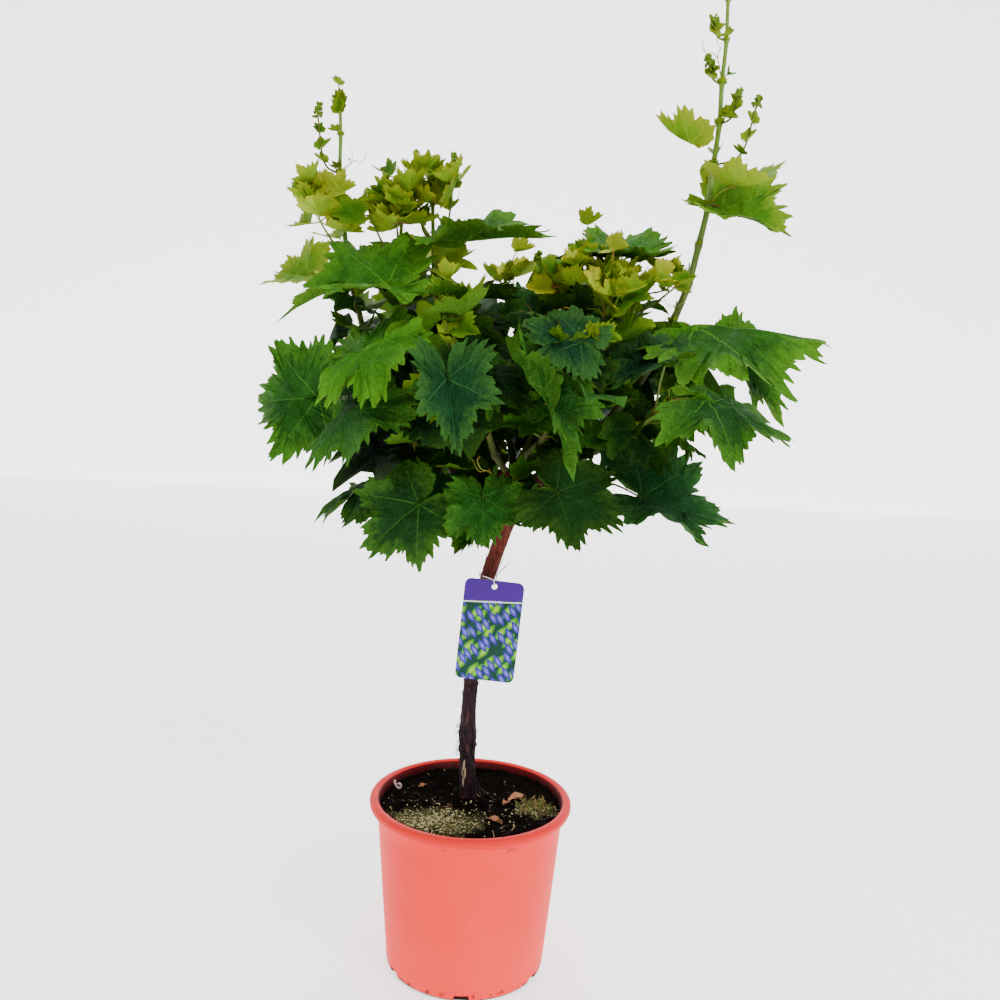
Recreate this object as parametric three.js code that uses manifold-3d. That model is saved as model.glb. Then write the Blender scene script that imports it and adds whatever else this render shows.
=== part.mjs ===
// A young grapevine grown as a small standard: a short trunk in a round nursery pot, a knotted
// head on top of it, and leafy shoots that grow out and up from the head. Millimetres, +Z up, with
// the origin at the centre of the pot's flat underside. The plant faces the light, which is at -Y.
import * as THREE from "three";
import { mergeVertices } from "three/addons/utils/BufferGeometryUtils.js";
import Module from "manifold-3d";

// ---------------------------------------------------------------- driving dimensions
const clear = 0.3; // gap between pieces that touch
const pot = { height: 165, rim: 95, neck: 87.5, foot: 75, wall: 2.2, floor: 3, lip: 9, corner: 5 };
const drain = { count: 6, width: 14, height: 8, depth: 10, turn: -90 };
const soil = { edge: 150, mound: 6 };
const trunk = { foot: [-3, 15], girth: 6.6, top: 6.2, flare: 1.6, sides: 12, steps: 18 };
const head = { at: [25, 0, 463], girth: 13 };
const label = {
  width: 54, height: 94, thick: 0.8, corner: 6, hole: 2.6, rim: 3, at: [14, -15, 372], lean: 4,
};
const wire = { girth: 0.6, slack: 0.8, rise: 6, steps: 26, sides: 5 };
const twig = { sides: 5, tip: 1.3, zigzag: 2.5, leastLeaf: 20, turns: 24, second: 0.85 };
const stalk = { sides: 3, grown: 1.3, young: 0.8, taper: 0.15, arch: 0.12 };
const bud = { radius: 5.5, tall: 1.5, stalk: [1, 0.9, 0.8] };

// Woody arms of the head. Bearings are degrees anticlockwise from +X, seen from above.
const arms = [
  { name: "arm_left", bearing: 178, reach: 65, rise: -4, girth: [8, 6] },
  { name: "arm_right", bearing: 8, reach: 38, rise: 14, girth: [7.5, 6] },
];

// Shoots. arm: 0 or 1, or -1 for the head itself; along: how far along the arm it starts, or how
// high on the head; reach, rise: how far out and up its tip is; bow: above 1 it grows out first and
// then up; joints: its nodes; bare: the joints of woody cane below its leaves; girth: its radius at
// the foot; size: blade length of its lowest leaf; seed: of the leaves that the rule grows.
const shootRows = [
  // name, arm, along, bearing, reach, rise, bow, joints, bare, girth, size, seed
  ["right_tall", 1, 1, 2, 130, 446, 4, 13, 2, 4.2, 90, 3],
  ["left_twin", 0, 1, 177, 98, 338, 2.6, 10, 3, 3.8, 60, 5],
  ["left_mid", 0, 0.72, 170, 62, 262, 2.8, 10, 3, 3.4, 66, 7],
  ["middle", 0, 0.3, 178, 60, 274, 2.6, 9, 3, 3.6, 70, 11],
  ["front", -1, 0.5, -118, 118, 158, 1.8, 7, 2, 3.2, 80, 13],
  ["front_right", -1, 0.7, -58, 112, 134, 1.5, 7, 2, 3.2, 75, 17],
  ["upper_mid", -1, 0.9, 24, 60, 204, 2, 9, 1, 3.2, 94, 19],
  ["upper_right", 1, 0.55, -38, 72, 192, 2, 9, 1, 3.2, 92, 23],
  ["right_back", 1, 0.75, 42, 100, 190, 2, 9, 1, 3.2, 98, 29],
  ["right_front", 1, 0.9, -22, 105, 72, 1.3, 6, 2, 3.4, 75, 31],
  ["low_right", -1, -0.4, -28, 64, 12, 1, 5, 2, 3, 90, 37],
  ["low_left", 0, 0.9, 218, 46, 14, 1, 5, 2, 3, 85, 41],
  ["left", 0, 0.85, 203, 62, 92, 1.4, 6, 2, 3.2, 75, 43],
  ["low_front", -1, -0.5, -95, 56, 12, 1, 5, 2, 3, 80, 47],
  ["low_back_left", 0, 0.6, 140, 48, 34, 1, 5, 2, 3, 84, 67],
  ["low_back", -1, -0.1, 105, 54, 36, 1, 5, 2, 3, 84, 71],
  ["low_back_right", -1, -0.4, 28, 60, 26, 1, 5, 2, 3, 84, 73],
  ["back_left", 0, 0.5, 118, 130, 176, 1.8, 9, 1, 3.6, 92, 53],
  ["back", -1, 0.3, 95, 140, 200, 1.8, 9, 1, 3.8, 95, 59],
  ["back_right", -1, 0.1, 60, 150, 150, 1.6, 9, 1, 3.6, 92, 61],
];

// The large outer leaves that shape the crown, which are placed before the rule grows the rest.
// bearing, reach, height: where the blade joins its stalk, round the origin; heading, pitch: where
// the blade's tip points; roll: how it leans about its midrib; size: the midrib's length.
const outerLeafRows = [
  // shoot, joint, bearing, reach, height, heading, pitch, roll, size
  ["right_tall", 4, 0, 181, 610, -5, 10, 20, 116],
  ["right_tall", 3, 12, 230, 584, -10, -42, -10, 78],
  ["right_tall", 5, 0, 128, 673, 179, 12, 0, 84],
  ["right_tall", 7, 3, 200, 714, -25, -18, -20, 68],
  ["right_tall", 8, 18, 170, 744, -90, -68, 60, 42],
  ["right_tall", 9, 0, 166, 767, 180, 20, -30, 38],
  ["left_mid", 6, -148, 102, 634, -172, 3, -5, 94],
  ["left_mid", 5, -134, 120, 590, -170, -28, -10, 72],
  ["left_mid", 8, 179, 96, 712, -75, -50, 0, 42],
  ["left_twin", 5, 164, 177, 643, 135, 4, 16, 50],
  ["left_twin", 7, 180, 146, 716, -135, -55, 0, 34],
  ["middle", 7, -141, 32, 675, -15, 8, 24, 78],
  ["middle", 5, 132, 40, 623, 40, 25, 0, 65],
  ["middle", 9, -159, 41, 712, -20, 60, 0, 30],
  ["left", 4, -165, 150, 537, 165, -6, 55, 74],
  ["left", 5, -137, 132, 540, -160, -30, -15, 72],
  ["low_left", 3, -132, 80, 451, -162, -38, 30, 62],
  ["low_left", 5, 164, 92, 465, 180, -15, -18, 76],
  ["low_back_left", 4, 146, 106, 518, 176, -25, 50, 52],
  ["low_back", 3, 104, 58, 458, 98, -52, 0, 64],
  ["low_back", 4, 44, 74, 466, 24, -50, 10, 56],
  ["front", 4, -102, 140, 562, -65, -58, 0, 72],
  ["front_right", 5, -56, 132, 594, -178, 20, 10, 50],
  ["front_right", 4, -70, 108, 562, -20, -50, 40, 82],
  ["right_front", 5, -17, 158, 581, 178, -14, -14, 56],
  ["right_front", 4, -31, 207, 553, -22, -12, 5, 74],
  ["low_right", 5, -9, 143, 460, 2, -14, 16, 98],
  ["low_right", 3, -53, 104, 470, -16, -16, -15, 62],
  ["low_front", 3, -89, 74, 462, -85, -55, -10, 48],
  ["low_front", 4, -92, 42, 440, -150, -60, 0, 40],
];

// Sprays of flower buds on their own stalks: where each spray is, round the origin, and its size.
const sprayRows = [
  // shoot, joint, bearing, reach, height, size
  ["right_tall", 8, 0, 221, 802, 5.5],
  ["right_tall", 9, -2, 203, 806, 4.5],
  ["right_tall", 10, 1, 179, 834, 5],
  ["right_tall", 11, 0, 180, 866, 4.5],
  ["left_twin", 8, 180, 156, 778, 6],
  ["left_mid", 9, 176, 96, 724, 5],
  ["middle", 7, -176, 68, 742, 5.5],
  ["middle", 7, -174, 36, 741, 6],
  ["front", 5, -107, 116, 618, 5],
  ["upper_mid", 7, 27, 44, 664, 5.5],
  ["upper_mid", 8, 16, 74, 672, 5],
  ["upper_right", 7, 6, 96, 672, 5.5],
  ["right_back", 8, 13, 176, 659, 5.5],
];

// Leaf outlines: [degrees from the midrib, length], one side only, for a blade of length 1.
const grownLeaf = [[13, 0.76], [28, 0.56], [50, 0.86], [80, 0.5], [108, 0.64], [150, 0.42], [172, 0.12]];
const youngLeaf = [[28, 0.58], [52, 0.84], [104, 0.6], [170, 0.14]];
const leaf = { heart: 0.3, fold: 0.22, bend: 0.12, curl: 0.06, thick: 0.024, young: 48 };

// ---------------------------------------------------------------- arithmetic
const rad = Math.PI / 180;
const add = (a, b, k = 1) => [a[0] + b[0] * k, a[1] + b[1] * k, a[2] + b[2] * k];
const dot = (a, b) => a[0] * b[0] + a[1] * b[1] + a[2] * b[2];
const cross = (a, b) => [a[1] * b[2] - a[2] * b[1], a[2] * b[0] - a[0] * b[2], a[0] * b[1] - a[1] * b[0]];
const unit = (a) => add([0, 0, 0], a, 1 / Math.sqrt(dot(a, a)));
const mix = (a, b, t) => add(add([0, 0, 0], a, 1 - t), b, t);
const span = (a, b) => Math.sqrt(dot(add(a, b, -1), add(a, b, -1)));

function heading(bearing, pitch) {
  const level = Math.cos(pitch * rad);
  return [level * Math.cos(bearing * rad), level * Math.sin(bearing * rad), Math.sin(pitch * rad)];
}

// Seeded draws: the same numbers on every run.
let state = 1;
function draw() {
  state = (state * 16807) % 2147483647;
  return state / 2147483647;
}
const spread = (width) => (2 * draw() - 1) * width;

// ---------------------------------------------------------------- the growth rule
function armPoint(arm, t) {
  return add(add(head.at, heading(arm.bearing, 0), arm.reach * t), [0, 0, arm.rise * t * t]);
}

function armGirth(arm, t) {
  return arm.girth[0] + (arm.girth[1] - arm.girth[0]) * t;
}

function growShoot([name, arm, along, bearing, reach, rise, bow, joints, bare, girth, size, seed]) {
  const foot = arm < 0 ? add(head.at, [0, 0, along * head.girth]) : armPoint(arms[arm], along);
  const path = [];
  const radii = [];
  for (let k = 0; k <= joints; k += 1) {
    const t = k / joints;
    const out = reach * (1 - (1 - t) ** bow);
    const aside = k === 0 ? 0 : twig.zigzag * (k % 2 === 0 ? 1 : -1);
    const point = add(add(foot, heading(bearing, 0), out), heading(bearing + 90, 0), aside);
    path.push(add(point, [0, 0, rise * t]));
    radii.push(girth + (twig.tip - girth) * t);
  }
  return { name, bearing, joints, bare, size, seed, path, radii, leaves: [], sprays: [] };
}

// The room: a grid of small cells, each kept by the first leaf or limb that reaches it.
const cell = 4;
const roomFrom = [-320, -320, 100];
const roomCells = [170, 170, 230];
const room = new Int16Array(roomCells[0] * roomCells[1] * roomCells[2]);

function cellOf(point) {
  const [i, j, k] = point.map((value, axis) => Math.floor((value - roomFrom[axis]) / cell));
  return i + roomCells[0] * (j + roomCells[1] * k);
}

function keep(points, owner, margin) {
  for (const point of points) {
    for (let i = -margin; i <= margin; i += 1) {
      for (let j = -margin; j <= margin; j += 1) {
        for (let k = -margin; k <= margin; k += 1) {
          const at = cellOf(add(point, [i * cell, j * cell, k * cell]));
          if (room[at] === 0) room[at] = owner;
        }
      }
    }
  }
}

function isFree(points, owner) {
  return points.every((point) => room[cellOf(point)] === 0 || room[cellOf(point)] === owner);
}

function pointsAlong(path, step = 3) {
  const points = [];
  for (let k = 1; k < path.length; k += 1) {
    const count = Math.ceil(span(path[k - 1], path[k]) / step);
    for (let n = 0; n <= count; n += 1) points.push(mix(path[k - 1], path[k], n / count));
  }
  return points;
}

// A point of a blade, by its turn from the midrib and its length from the stalk: the blade folds
// up from the midrib, and bends and curls down to its edge.
function bladePoint(blade, turn, length) {
  const x = length * Math.cos(turn * rad);
  const y = length * Math.sin(turn * rad);
  const z = leaf.fold * Math.abs(y) - leaf.bend * x * Math.abs(x) - leaf.curl * length * length;
  const across = add(add(blade.at, blade.along, x * blade.size), blade.side, y * blade.size);
  return add(across, blade.face, z * blade.size);
}

function bladeOutline(blade) {
  const half = blade.size < leaf.young ? youngLeaf : grownLeaf;
  const whole = [...half.map(([turn, length]) => [-turn, length]).reverse(), [0, 1], ...half];
  return whole.map(([turn, length]) => bladePoint(blade, turn, length));
}

function bladePoints(blade, step = 3) {
  const edge = bladeOutline(blade);
  const heart = bladePoint(blade, 0, leaf.heart);
  const points = [];
  for (const outer of pointsAlong([...edge, edge[0]], step)) {
    const count = Math.ceil(span(heart, outer) / step);
    for (let n = 1; n <= count; n += 1) points.push(mix(heart, outer, n / count));
  }
  return points;
}

// Blades turn their faces up, outward and towards the light.
function makeBlade(at, bearing, headingTo, pitch, roll, size) {
  const sky = add(heading(bearing, 0), [0, -1.4, 3]);
  const along = heading(headingTo, pitch);
  const up = unit(add(sky, along, -dot(sky, along)));
  const left = cross(up, along);
  const face = add(add([0, 0, 0], up, Math.cos(roll * rad)), left, Math.sin(roll * rad));
  return { at, along, face, side: cross(face, along), size };
}

// A stalk rises from the joint in a low arch to the blade.
function stalkPath(from, to) {
  const lift = span(from, to) * stalk.arch;
  return [from, add(mix(from, to, 0.5), [0, 0, lift]), to];
}

function placeLeaf(shoot, joint, blade, owner) {
  const path = stalkPath(shoot.path[joint], blade.at);
  if (!isFree(pointsAlong(path), owner) || !isFree(bladePoints(blade), owner)) return false;
  shoot.leaves.push({ joint, path, blade });
  keep(bladePoints(blade), owner + bladeOwner + shoot.leaves.length, 1);
  keep(pointsAlong(path), owner, 1);
  return true;
}

// A spray's stalk grows out from its joint and then up to the buds.
function placeSpray(shoot, joint, at, size, owner) {
  const from = shoot.path[joint];
  const turn = mix(from, at, 0.7);
  const path = [from, [turn[0], turn[1], from[2] + (at[2] - from[2]) * 0.2], at];
  const around = pointsAlong(path).concat(pointsAlong([at, add(at, [0, 0, size])]));
  if (!isFree(around, owner)) return;
  shoot.sprays.push({ path, size });
  keep(around, owner, 1);
}

// A leaf that the rule grows: sides alternate up the shoot, and blades get smaller to its tip,
// where they stand up. It is tried at a few seeded turns, and skipped where none has room.
function ruleLeaf(shoot, joint, owner, share = 1) {
  const t = (joint - shoot.bare) / (shoot.joints - shoot.bare + 0.6);
  const grown = shoot.size * share * (1 - t) ** 0.85 * (1 + spread(0.1));
  for (let turn = 0; turn < twig.turns; turn += 1) {
    const side = (joint % 2 === 0 ? 1 : -1) * (turn % 2 === 0 ? 1 : -1);
    const size = Math.max(twig.leastLeaf, grown * (1 - 0.02 * turn));
    const bearing = shoot.bearing + side * (62 + spread(45 + turn));
    const reach = size * (0.65 + spread(0.3));
    const at = add(shoot.path[joint], heading(bearing, 28 + 30 * t + spread(30)), reach);
    const pitch = -24 + 45 * t + spread(25);
    const blade = makeBlade(at, bearing, bearing + spread(50), pitch, spread(30), size);
    if (placeLeaf(shoot, joint, blade, owner)) return;
  }
}

// Each shoot keeps its cells under one number for its stem and stalks, one for its bare cane and
// one for each blade, so that a blade may touch its own shoot's stem but no other blade.
const shoots = shootRows.map(growShoot);
const ownersPerShoot = 200;
const bladeOwner = 100;
const caneOwner = 199;
const armOwner = ownersPerShoot * (shootRows.length + 1);
const ownerOf = (shoot) => 1 + shoots.indexOf(shoot) * ownersPerShoot;
const shootNamed = (name) => shoots.find((shoot) => shoot.name === name);

for (const arm of arms) keep(pointsAlong([0, 0.5, 1].map((t) => armPoint(arm, t))), armOwner, 2);
for (const shoot of shoots) {
  keep(pointsAlong(shoot.path.slice(0, shoot.bare + 1)), ownerOf(shoot) + caneOwner, 1);
  keep(pointsAlong(shoot.path.slice(shoot.bare)), ownerOf(shoot), 1);
}
for (const [name, joint, bearing, reach, height, size] of sprayRows) {
  const shoot = shootNamed(name);
  const at = add([0, 0, height], heading(bearing, 0), reach);
  placeSpray(shoot, joint, at, size, ownerOf(shoot));
}
for (const [name, joint, bearing, reach, height, to, pitch, roll, size] of outerLeafRows) {
  const shoot = shootNamed(name);
  const at = add([0, 0, height], heading(bearing, 0), reach);
  placeLeaf(shoot, joint, makeBlade(at, bearing, to, pitch, roll, size), ownerOf(shoot));
}
for (const shoot of shoots) {
  state = shoot.seed;
  for (let joint = shoot.bare + 1; joint <= shoot.joints; joint += 1) {
    const taken = shoot.leaves.some((placed) => placed.joint === joint);
    if (!taken) ruleLeaf(shoot, joint, ownerOf(shoot));
  }
}

// The lower joints bear a second, smaller leaf where there is room for one.
for (const shoot of shoots) {
  const last = Math.floor(shoot.joints * 0.7);
  for (let joint = shoot.bare; joint <= last; joint += 1) {
    ruleLeaf(shoot, joint, ownerOf(shoot), twig.second);
  }
}

// ---------------------------------------------------------------- solids
const wasm = await Module();
wasm.setup();

function meshData(points, faces) {
  const shape = new THREE.BufferGeometry();
  shape.setAttribute("position", new THREE.Float32BufferAttribute(points.flat(), 3));
  shape.setIndex(faces.flat());
  return shape;
}

function solid(shape) {
  shape.deleteAttribute("normal");
  shape.deleteAttribute("uv");
  const merged = mergeVertices(shape, 1e-4);
  return new wasm.Manifold(new wasm.Mesh({
    numProp: 3,
    vertProperties: new Float32Array(merged.attributes.position.array),
    triVerts: new Uint32Array(merged.index.array),
  }));
}

const fuse = (solids) => wasm.Manifold.union(solids);

// Drops loose scraps: only the largest closed body is kept.
function largest(body) {
  return body.decompose().sort((a, b) => b.volume() - a.volume())[0];
}

// A closed tube with flat ends through rings of points: sides round, one ring a stop.
function tube(path, radii, sides, grow = 0) {
  const tangents = path.map((_, k) => {
    return unit(add(path[Math.min(k + 1, path.length - 1)], path[Math.max(k - 1, 0)], -1));
  });
  return { path, radii: radii.map((radius) => radius + grow), tangents, sides };
}

function tubeSolid({ path, radii, tangents, sides }, swell = () => 1) {
  const points = [];
  const faces = [];
  let across = unit(cross(tangents[0], Math.abs(tangents[0][2]) > 0.8 ? [1, 0, 0] : [0, 0, 1]));
  path.forEach((center, k) => {
    across = unit(add(across, tangents[k], -dot(across, tangents[k])));
    const over = cross(tangents[k], across);
    for (let n = 0; n < sides; n += 1) {
      const turn = (2 * Math.PI * n) / sides;
      const radius = radii[k] * swell(k, n);
      const rim = add(add(center, across, radius * Math.cos(turn)), over, radius * Math.sin(turn));
      points.push(rim);
      if (k > 0) {
        const [a, b] = [(k - 1) * sides + n, (k - 1) * sides + ((n + 1) % sides)];
        faces.push([a, b, b + sides], [a, b + sides, a + sides]);
      }
    }
  });
  const last = (path.length - 1) * sides;
  for (let n = 1; n < sides - 1; n += 1) {
    faces.push([0, n + 1, n], [last, last + n, last + n + 1]);
  }
  return solid(meshData(points, faces));
}

// Part of a shoot, from one joint to another; its first ring is set off by a gap.
function shootTube(shoot, from, to, gap, grow = 0) {
  const whole = tube(shoot.path, shoot.radii, twig.sides, grow);
  const path = whole.path.slice(from, to + 1);
  const tangents = whole.tangents.slice(from, to + 1);
  path[0] = add(path[0], tangents[0], gap);
  return { path, tangents, radii: whole.radii.slice(from, to + 1), sides: twig.sides };
}

// A blade is a thin lens: its faces meet in its lobed edge and are thickest at the stalk.
function bladeSolid(blade) {
  const edge = bladeOutline(blade);
  const half = (blade.size * leaf.thick) / 2;
  const heart = bladePoint(blade, 0, leaf.heart);
  const points = [...edge, add(heart, blade.face, half), add(heart, blade.face, -half)];
  const count = edge.length;
  const faces = edge.flatMap((_, n) => {
    const next = (n + 1) % count;
    return [[n, next, count], [next, n, count + 1]];
  });
  return solid(meshData(points, faces));
}

// A cluster of small buds, as one pointed solid.
function budSolid(at, radius) {
  return solid(new THREE.OctahedronGeometry(radius, 0).scale(1, 1, bud.tall).translate(...at));
}

function massSolid(shoot) {
  const tip = shoot.path[shoot.joints];
  const parts = [tubeSolid(shootTube(shoot, shoot.bare, shoot.joints, clear))];
  parts.push(budSolid(add(tip, [0, 0, 2]), bud.radius));
  for (const { path, blade } of shoot.leaves) {
    const young = blade.size < leaf.young;
    const stops = young ? [path[0], path[2]] : path;
    const radii = stops.map((_, n) => (young ? stalk.young : stalk.grown) * (1 - stalk.taper * n));
    parts.push(tubeSolid(tube(stops, radii, stalk.sides)), bladeSolid(blade));
  }
  for (const { path, size } of shoot.sprays) {
    parts.push(tubeSolid(tube(path, bud.stalk, stalk.sides)), budSolid(path[2], size));
  }
  return largest(fuse(parts)).simplify(0.05);
}

function lathe(profile, segments = 32) {
  const shape = new THREE.LatheGeometry(profile.map(([x, y]) => new THREE.Vector2(x, y)), segments);
  return solid(shape.rotateX(Math.PI / 2));
}

// ---------------------------------------------------------------- pot and soil
// The wall tapers to a rounded foot, and its rim is a lip rolled outward. Drain slots are cut
// through the foot's edge all round.
function wallRadius(z) {
  return pot.foot + ((pot.neck - pot.foot) * z) / (pot.height - pot.lip);
}

function potSolid() {
  const neckZ = pot.height - pot.lip;
  const profile = [[0, 0], [pot.foot - pot.corner, 0]];
  for (let n = 1; n <= 3; n += 1) {
    const turn = (n * 30 - 90) * rad;
    const x = pot.foot - pot.corner + pot.corner * Math.cos(turn);
    profile.push([x, pot.corner + pot.corner * Math.sin(turn)]);
  }
  profile.push([pot.neck, neckZ], [pot.rim - 1.5, neckZ + 0.5], [pot.rim, neckZ + 3]);
  profile.push([pot.rim, pot.height - 2.5], [pot.rim - 2, pot.height - 0.3], [pot.rim - 4, pot.height]);
  profile.push([pot.neck, pot.height - 1], [pot.neck - pot.wall, neckZ], [pot.foot - pot.wall, pot.corner]);
  profile.push([pot.foot - pot.corner, pot.floor], [0, pot.floor]);
  let body = lathe(profile);
  for (let n = 0; n < drain.count; n += 1) {
    const slot = new THREE.BoxGeometry(drain.depth, drain.width, drain.height);
    slot.translate(pot.foot, 0, drain.height / 2 - 1).rotateZ((drain.turn + (n * 360) / drain.count) * rad);
    body = body.subtract(solid(slot));
  }
  return body;
}

function soilSolid() {
  const inner = (z) => wallRadius(z) - pot.wall - clear - 0.4;
  const low = pot.floor + clear;
  const profile = [[0, low], [pot.foot - pot.corner - 3, low], [inner(pot.corner + 2) - 1, pot.corner + 2]];
  profile.push([inner(soil.edge), soil.edge]);
  profile.push([inner(soil.edge) * 0.6, soil.edge + soil.mound * 0.64]);
  profile.push([14, soil.edge + soil.mound], [0, soil.edge + soil.mound]);
  return lathe(profile);
}

// ---------------------------------------------------------------- trunk, arms and canes
const ground = soil.edge + soil.mound + clear;

// The trunk's centre line: it rises from the soil, kinks at two old knots and leans to the head.
function trunkPoint(t) {
  const late = Math.min(Math.max((t - 0.55) / 0.4, 0), 1);
  const lean = late * late * (3 - 2 * late);
  const x = trunk.foot[0] + (head.at[0] - trunk.foot[0]) * lean - 2.5 * Math.sin(t * 7);
  const y = trunk.foot[1] + (head.at[1] - trunk.foot[1]) * t;
  return [x, y, ground + (head.at[2] + head.girth - ground) * t];
}

function trunkRadius(t) {
  const body = trunk.girth + (trunk.top - trunk.girth) * t;
  const flare = trunk.flare * Math.exp(-t * 14);
  const knots = 1.3 * Math.exp(-(((t - 0.2) * 22) ** 2)) + 0.9 * Math.exp(-(((t - 0.55) * 20) ** 2));
  const crown = (head.girth - trunk.top) * Math.exp(-(((t - 0.95) * 11) ** 2));
  return body + flare + knots + crown;
}

function trunkSolid(grow = 0) {
  const stops = [...Array(trunk.steps + 1).keys()].map((n) => n / trunk.steps);
  const path = stops.map(trunkPoint);
  const limb = tube(path, stops.map(trunkRadius), trunk.sides, grow);
  limb.tangents = stops.map(() => [0, 0, 1]);
  return tubeSolid(limb, (k, n) => 1 + 0.07 * Math.sin(n * 2.4 + k * 0.5));
}

function armSolid(arm, grow = 0) {
  const stops = [0, 0.25, 0.5, 0.75, 1];
  const path = stops.map((t) => armPoint(arm, t));
  return tubeSolid(tube(path, stops.map((t) => armGirth(arm, t)), 8, grow));
}

const trunkBody = trunkSolid();
const trunkRoom = trunkSolid(clear);
const armBodies = arms.map((arm) => largest(armSolid(arm).subtract(trunkRoom)));
const woodRoom = fuse([trunkRoom, ...arms.map((arm) => armSolid(arm, clear))]);

// Each cane is cut back to the wood it grows from and to the canes beside its foot.
let caneRoom = woodRoom;
const caneBodies = shoots.map((shoot) => {
  const body = largest(tubeSolid(shootTube(shoot, 0, shoot.bare, 0)).subtract(caneRoom));
  caneRoom = fuse([caneRoom, tubeSolid(shootTube(shoot, 0, shoot.bare, 0, clear))]);
  return body;
});

// ---------------------------------------------------------------- label and its wire
function labelSolid() {
  const [w, h, r] = [label.width / 2, label.height / 2, label.corner];
  const shape = new THREE.Shape();
  shape.absarc(w - r, h - r, r, 0, Math.PI / 2);
  shape.absarc(r - w, h - r, r, Math.PI / 2, Math.PI);
  shape.absarc(r - w, r - h, r, Math.PI, Math.PI * 1.5);
  shape.absarc(w - r, r - h, r, Math.PI * 1.5, Math.PI * 2);
  const hole = new THREE.Path();
  hole.absarc(0, h - label.hole - label.rim, label.hole, 0, Math.PI * 2);
  shape.holes.push(hole);
  const cut = { depth: label.thick, bevelEnabled: false, curveSegments: 4 };
  const plate = new THREE.ExtrudeGeometry(shape, cut);
  plate.translate(0, label.hole + label.rim - h, 0).rotateX(Math.PI / 2).rotateY(label.lean * rad);
  return solid(plate.translate(...label.at));
}

// The wire goes round the back of the trunk, through the label's hole from behind and up over the
// label's top edge, so that the label hangs on it; its two ends stand off to the left.
function wireSolid() {
  const t = (label.at[2] + wire.rise - ground) / (head.at[2] + head.girth - ground);
  const loop = trunkRadius(t) * 1.07 + clear + wire.girth + wire.slack;
  const center = trunkPoint(t);
  const around = [205, 170, 130, 90, 50, 10, -25].map((turn) => add(center, heading(turn, 0), loop));
  const [x, y, z] = label.at;
  const hung = z + label.hole * 0.93 - clear - wire.girth;
  const over = z + label.hole + label.rim + clear + wire.girth;
  const stops = [[x - 15, y + 6, z + 10], ...around, [x + 0.5, y + 3, hung], [x, y - 0.4, hung]];
  stops.push([x - 0.5, y - 2.6, z + 2.4], [x - 1.5, y - 2.2, over], [x - 11, y - 1, over + 3]);
  const curve = new THREE.CatmullRomCurve3(stops.map((stop) => new THREE.Vector3(...stop)));
  const path = curve.getPoints(wire.steps).map((point) => point.toArray());
  return tubeSolid(tube(path, path.map(() => wire.girth), wire.sides));
}

// ---------------------------------------------------------------- scene graph
const finish = {
  pot: { color: 0xe0584f, roughness: 0.5, metalness: 0 },
  soil: { color: 0x1d1613, roughness: 1, metalness: 0 },
  wood: { color: 0x3a2622, roughness: 0.9, metalness: 0 },
  cane: { color: 0x5b6a33, roughness: 0.7, metalness: 0 },
  leaf: { color: 0x2f6b23, roughness: 0.6, metalness: 0 },
  label: { color: 0x1f4a3a, roughness: 0.35, metalness: 0 },
  wire: { color: 0xd8d8d4, roughness: 0.4, metalness: 0 },
};

function node(name, body, look) {
  const { numProp, vertProperties, triVerts } = body.getMesh();
  const shape = new THREE.BufferGeometry();
  shape.setAttribute("position", new THREE.Float32BufferAttribute(vertProperties, numProp));
  shape.setIndex([...triVerts]);
  const mesh = new THREE.Mesh(shape, new THREE.MeshStandardMaterial(look));
  mesh.name = name;
  return mesh;
}

const group = new THREE.Group();
group.add(node("pot", potSolid(), finish.pot), node("soil", soilSolid(), finish.soil));
group.add(node("trunk", trunkBody, finish.wood));
arms.forEach((arm, n) => group.add(node(arm.name, armBodies[n], finish.wood)));
shoots.forEach((shoot, n) => {
  group.add(node(`cane_${shoot.name}`, caneBodies[n], finish.cane));
  group.add(node(`foliage_${shoot.name}`, massSolid(shoot), finish.leaf));
});
group.add(node("label", labelSolid(), finish.label));
group.add(node("label_wire", wireSolid(), finish.wire));

export default group;
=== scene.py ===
"""A young grapevine grown as a small standard in a nursery pot, dressed over its solid frame.

The growing is worked out in millimetres and made in metres, with +Z up and the front at -Y.
"""

import math
from types import SimpleNamespace

import bpy
import numpy as np
from mathutils import Matrix, Vector, noise


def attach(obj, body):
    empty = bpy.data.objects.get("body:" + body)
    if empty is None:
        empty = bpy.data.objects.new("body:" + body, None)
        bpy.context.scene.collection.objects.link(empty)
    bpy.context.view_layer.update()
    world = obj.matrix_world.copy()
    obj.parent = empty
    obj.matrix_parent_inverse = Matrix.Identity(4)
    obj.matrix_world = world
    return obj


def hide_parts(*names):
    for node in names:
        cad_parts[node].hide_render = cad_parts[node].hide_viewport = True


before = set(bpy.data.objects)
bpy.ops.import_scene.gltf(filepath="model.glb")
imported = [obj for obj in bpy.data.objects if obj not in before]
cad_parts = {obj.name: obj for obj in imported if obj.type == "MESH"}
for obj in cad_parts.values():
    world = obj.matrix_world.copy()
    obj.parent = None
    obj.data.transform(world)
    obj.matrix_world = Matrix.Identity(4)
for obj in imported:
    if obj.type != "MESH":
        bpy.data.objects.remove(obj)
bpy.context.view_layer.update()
bpy.ops.object.select_all(action="DESELECT")
bpy.context.preferences.edit.use_global_undo = False


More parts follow.
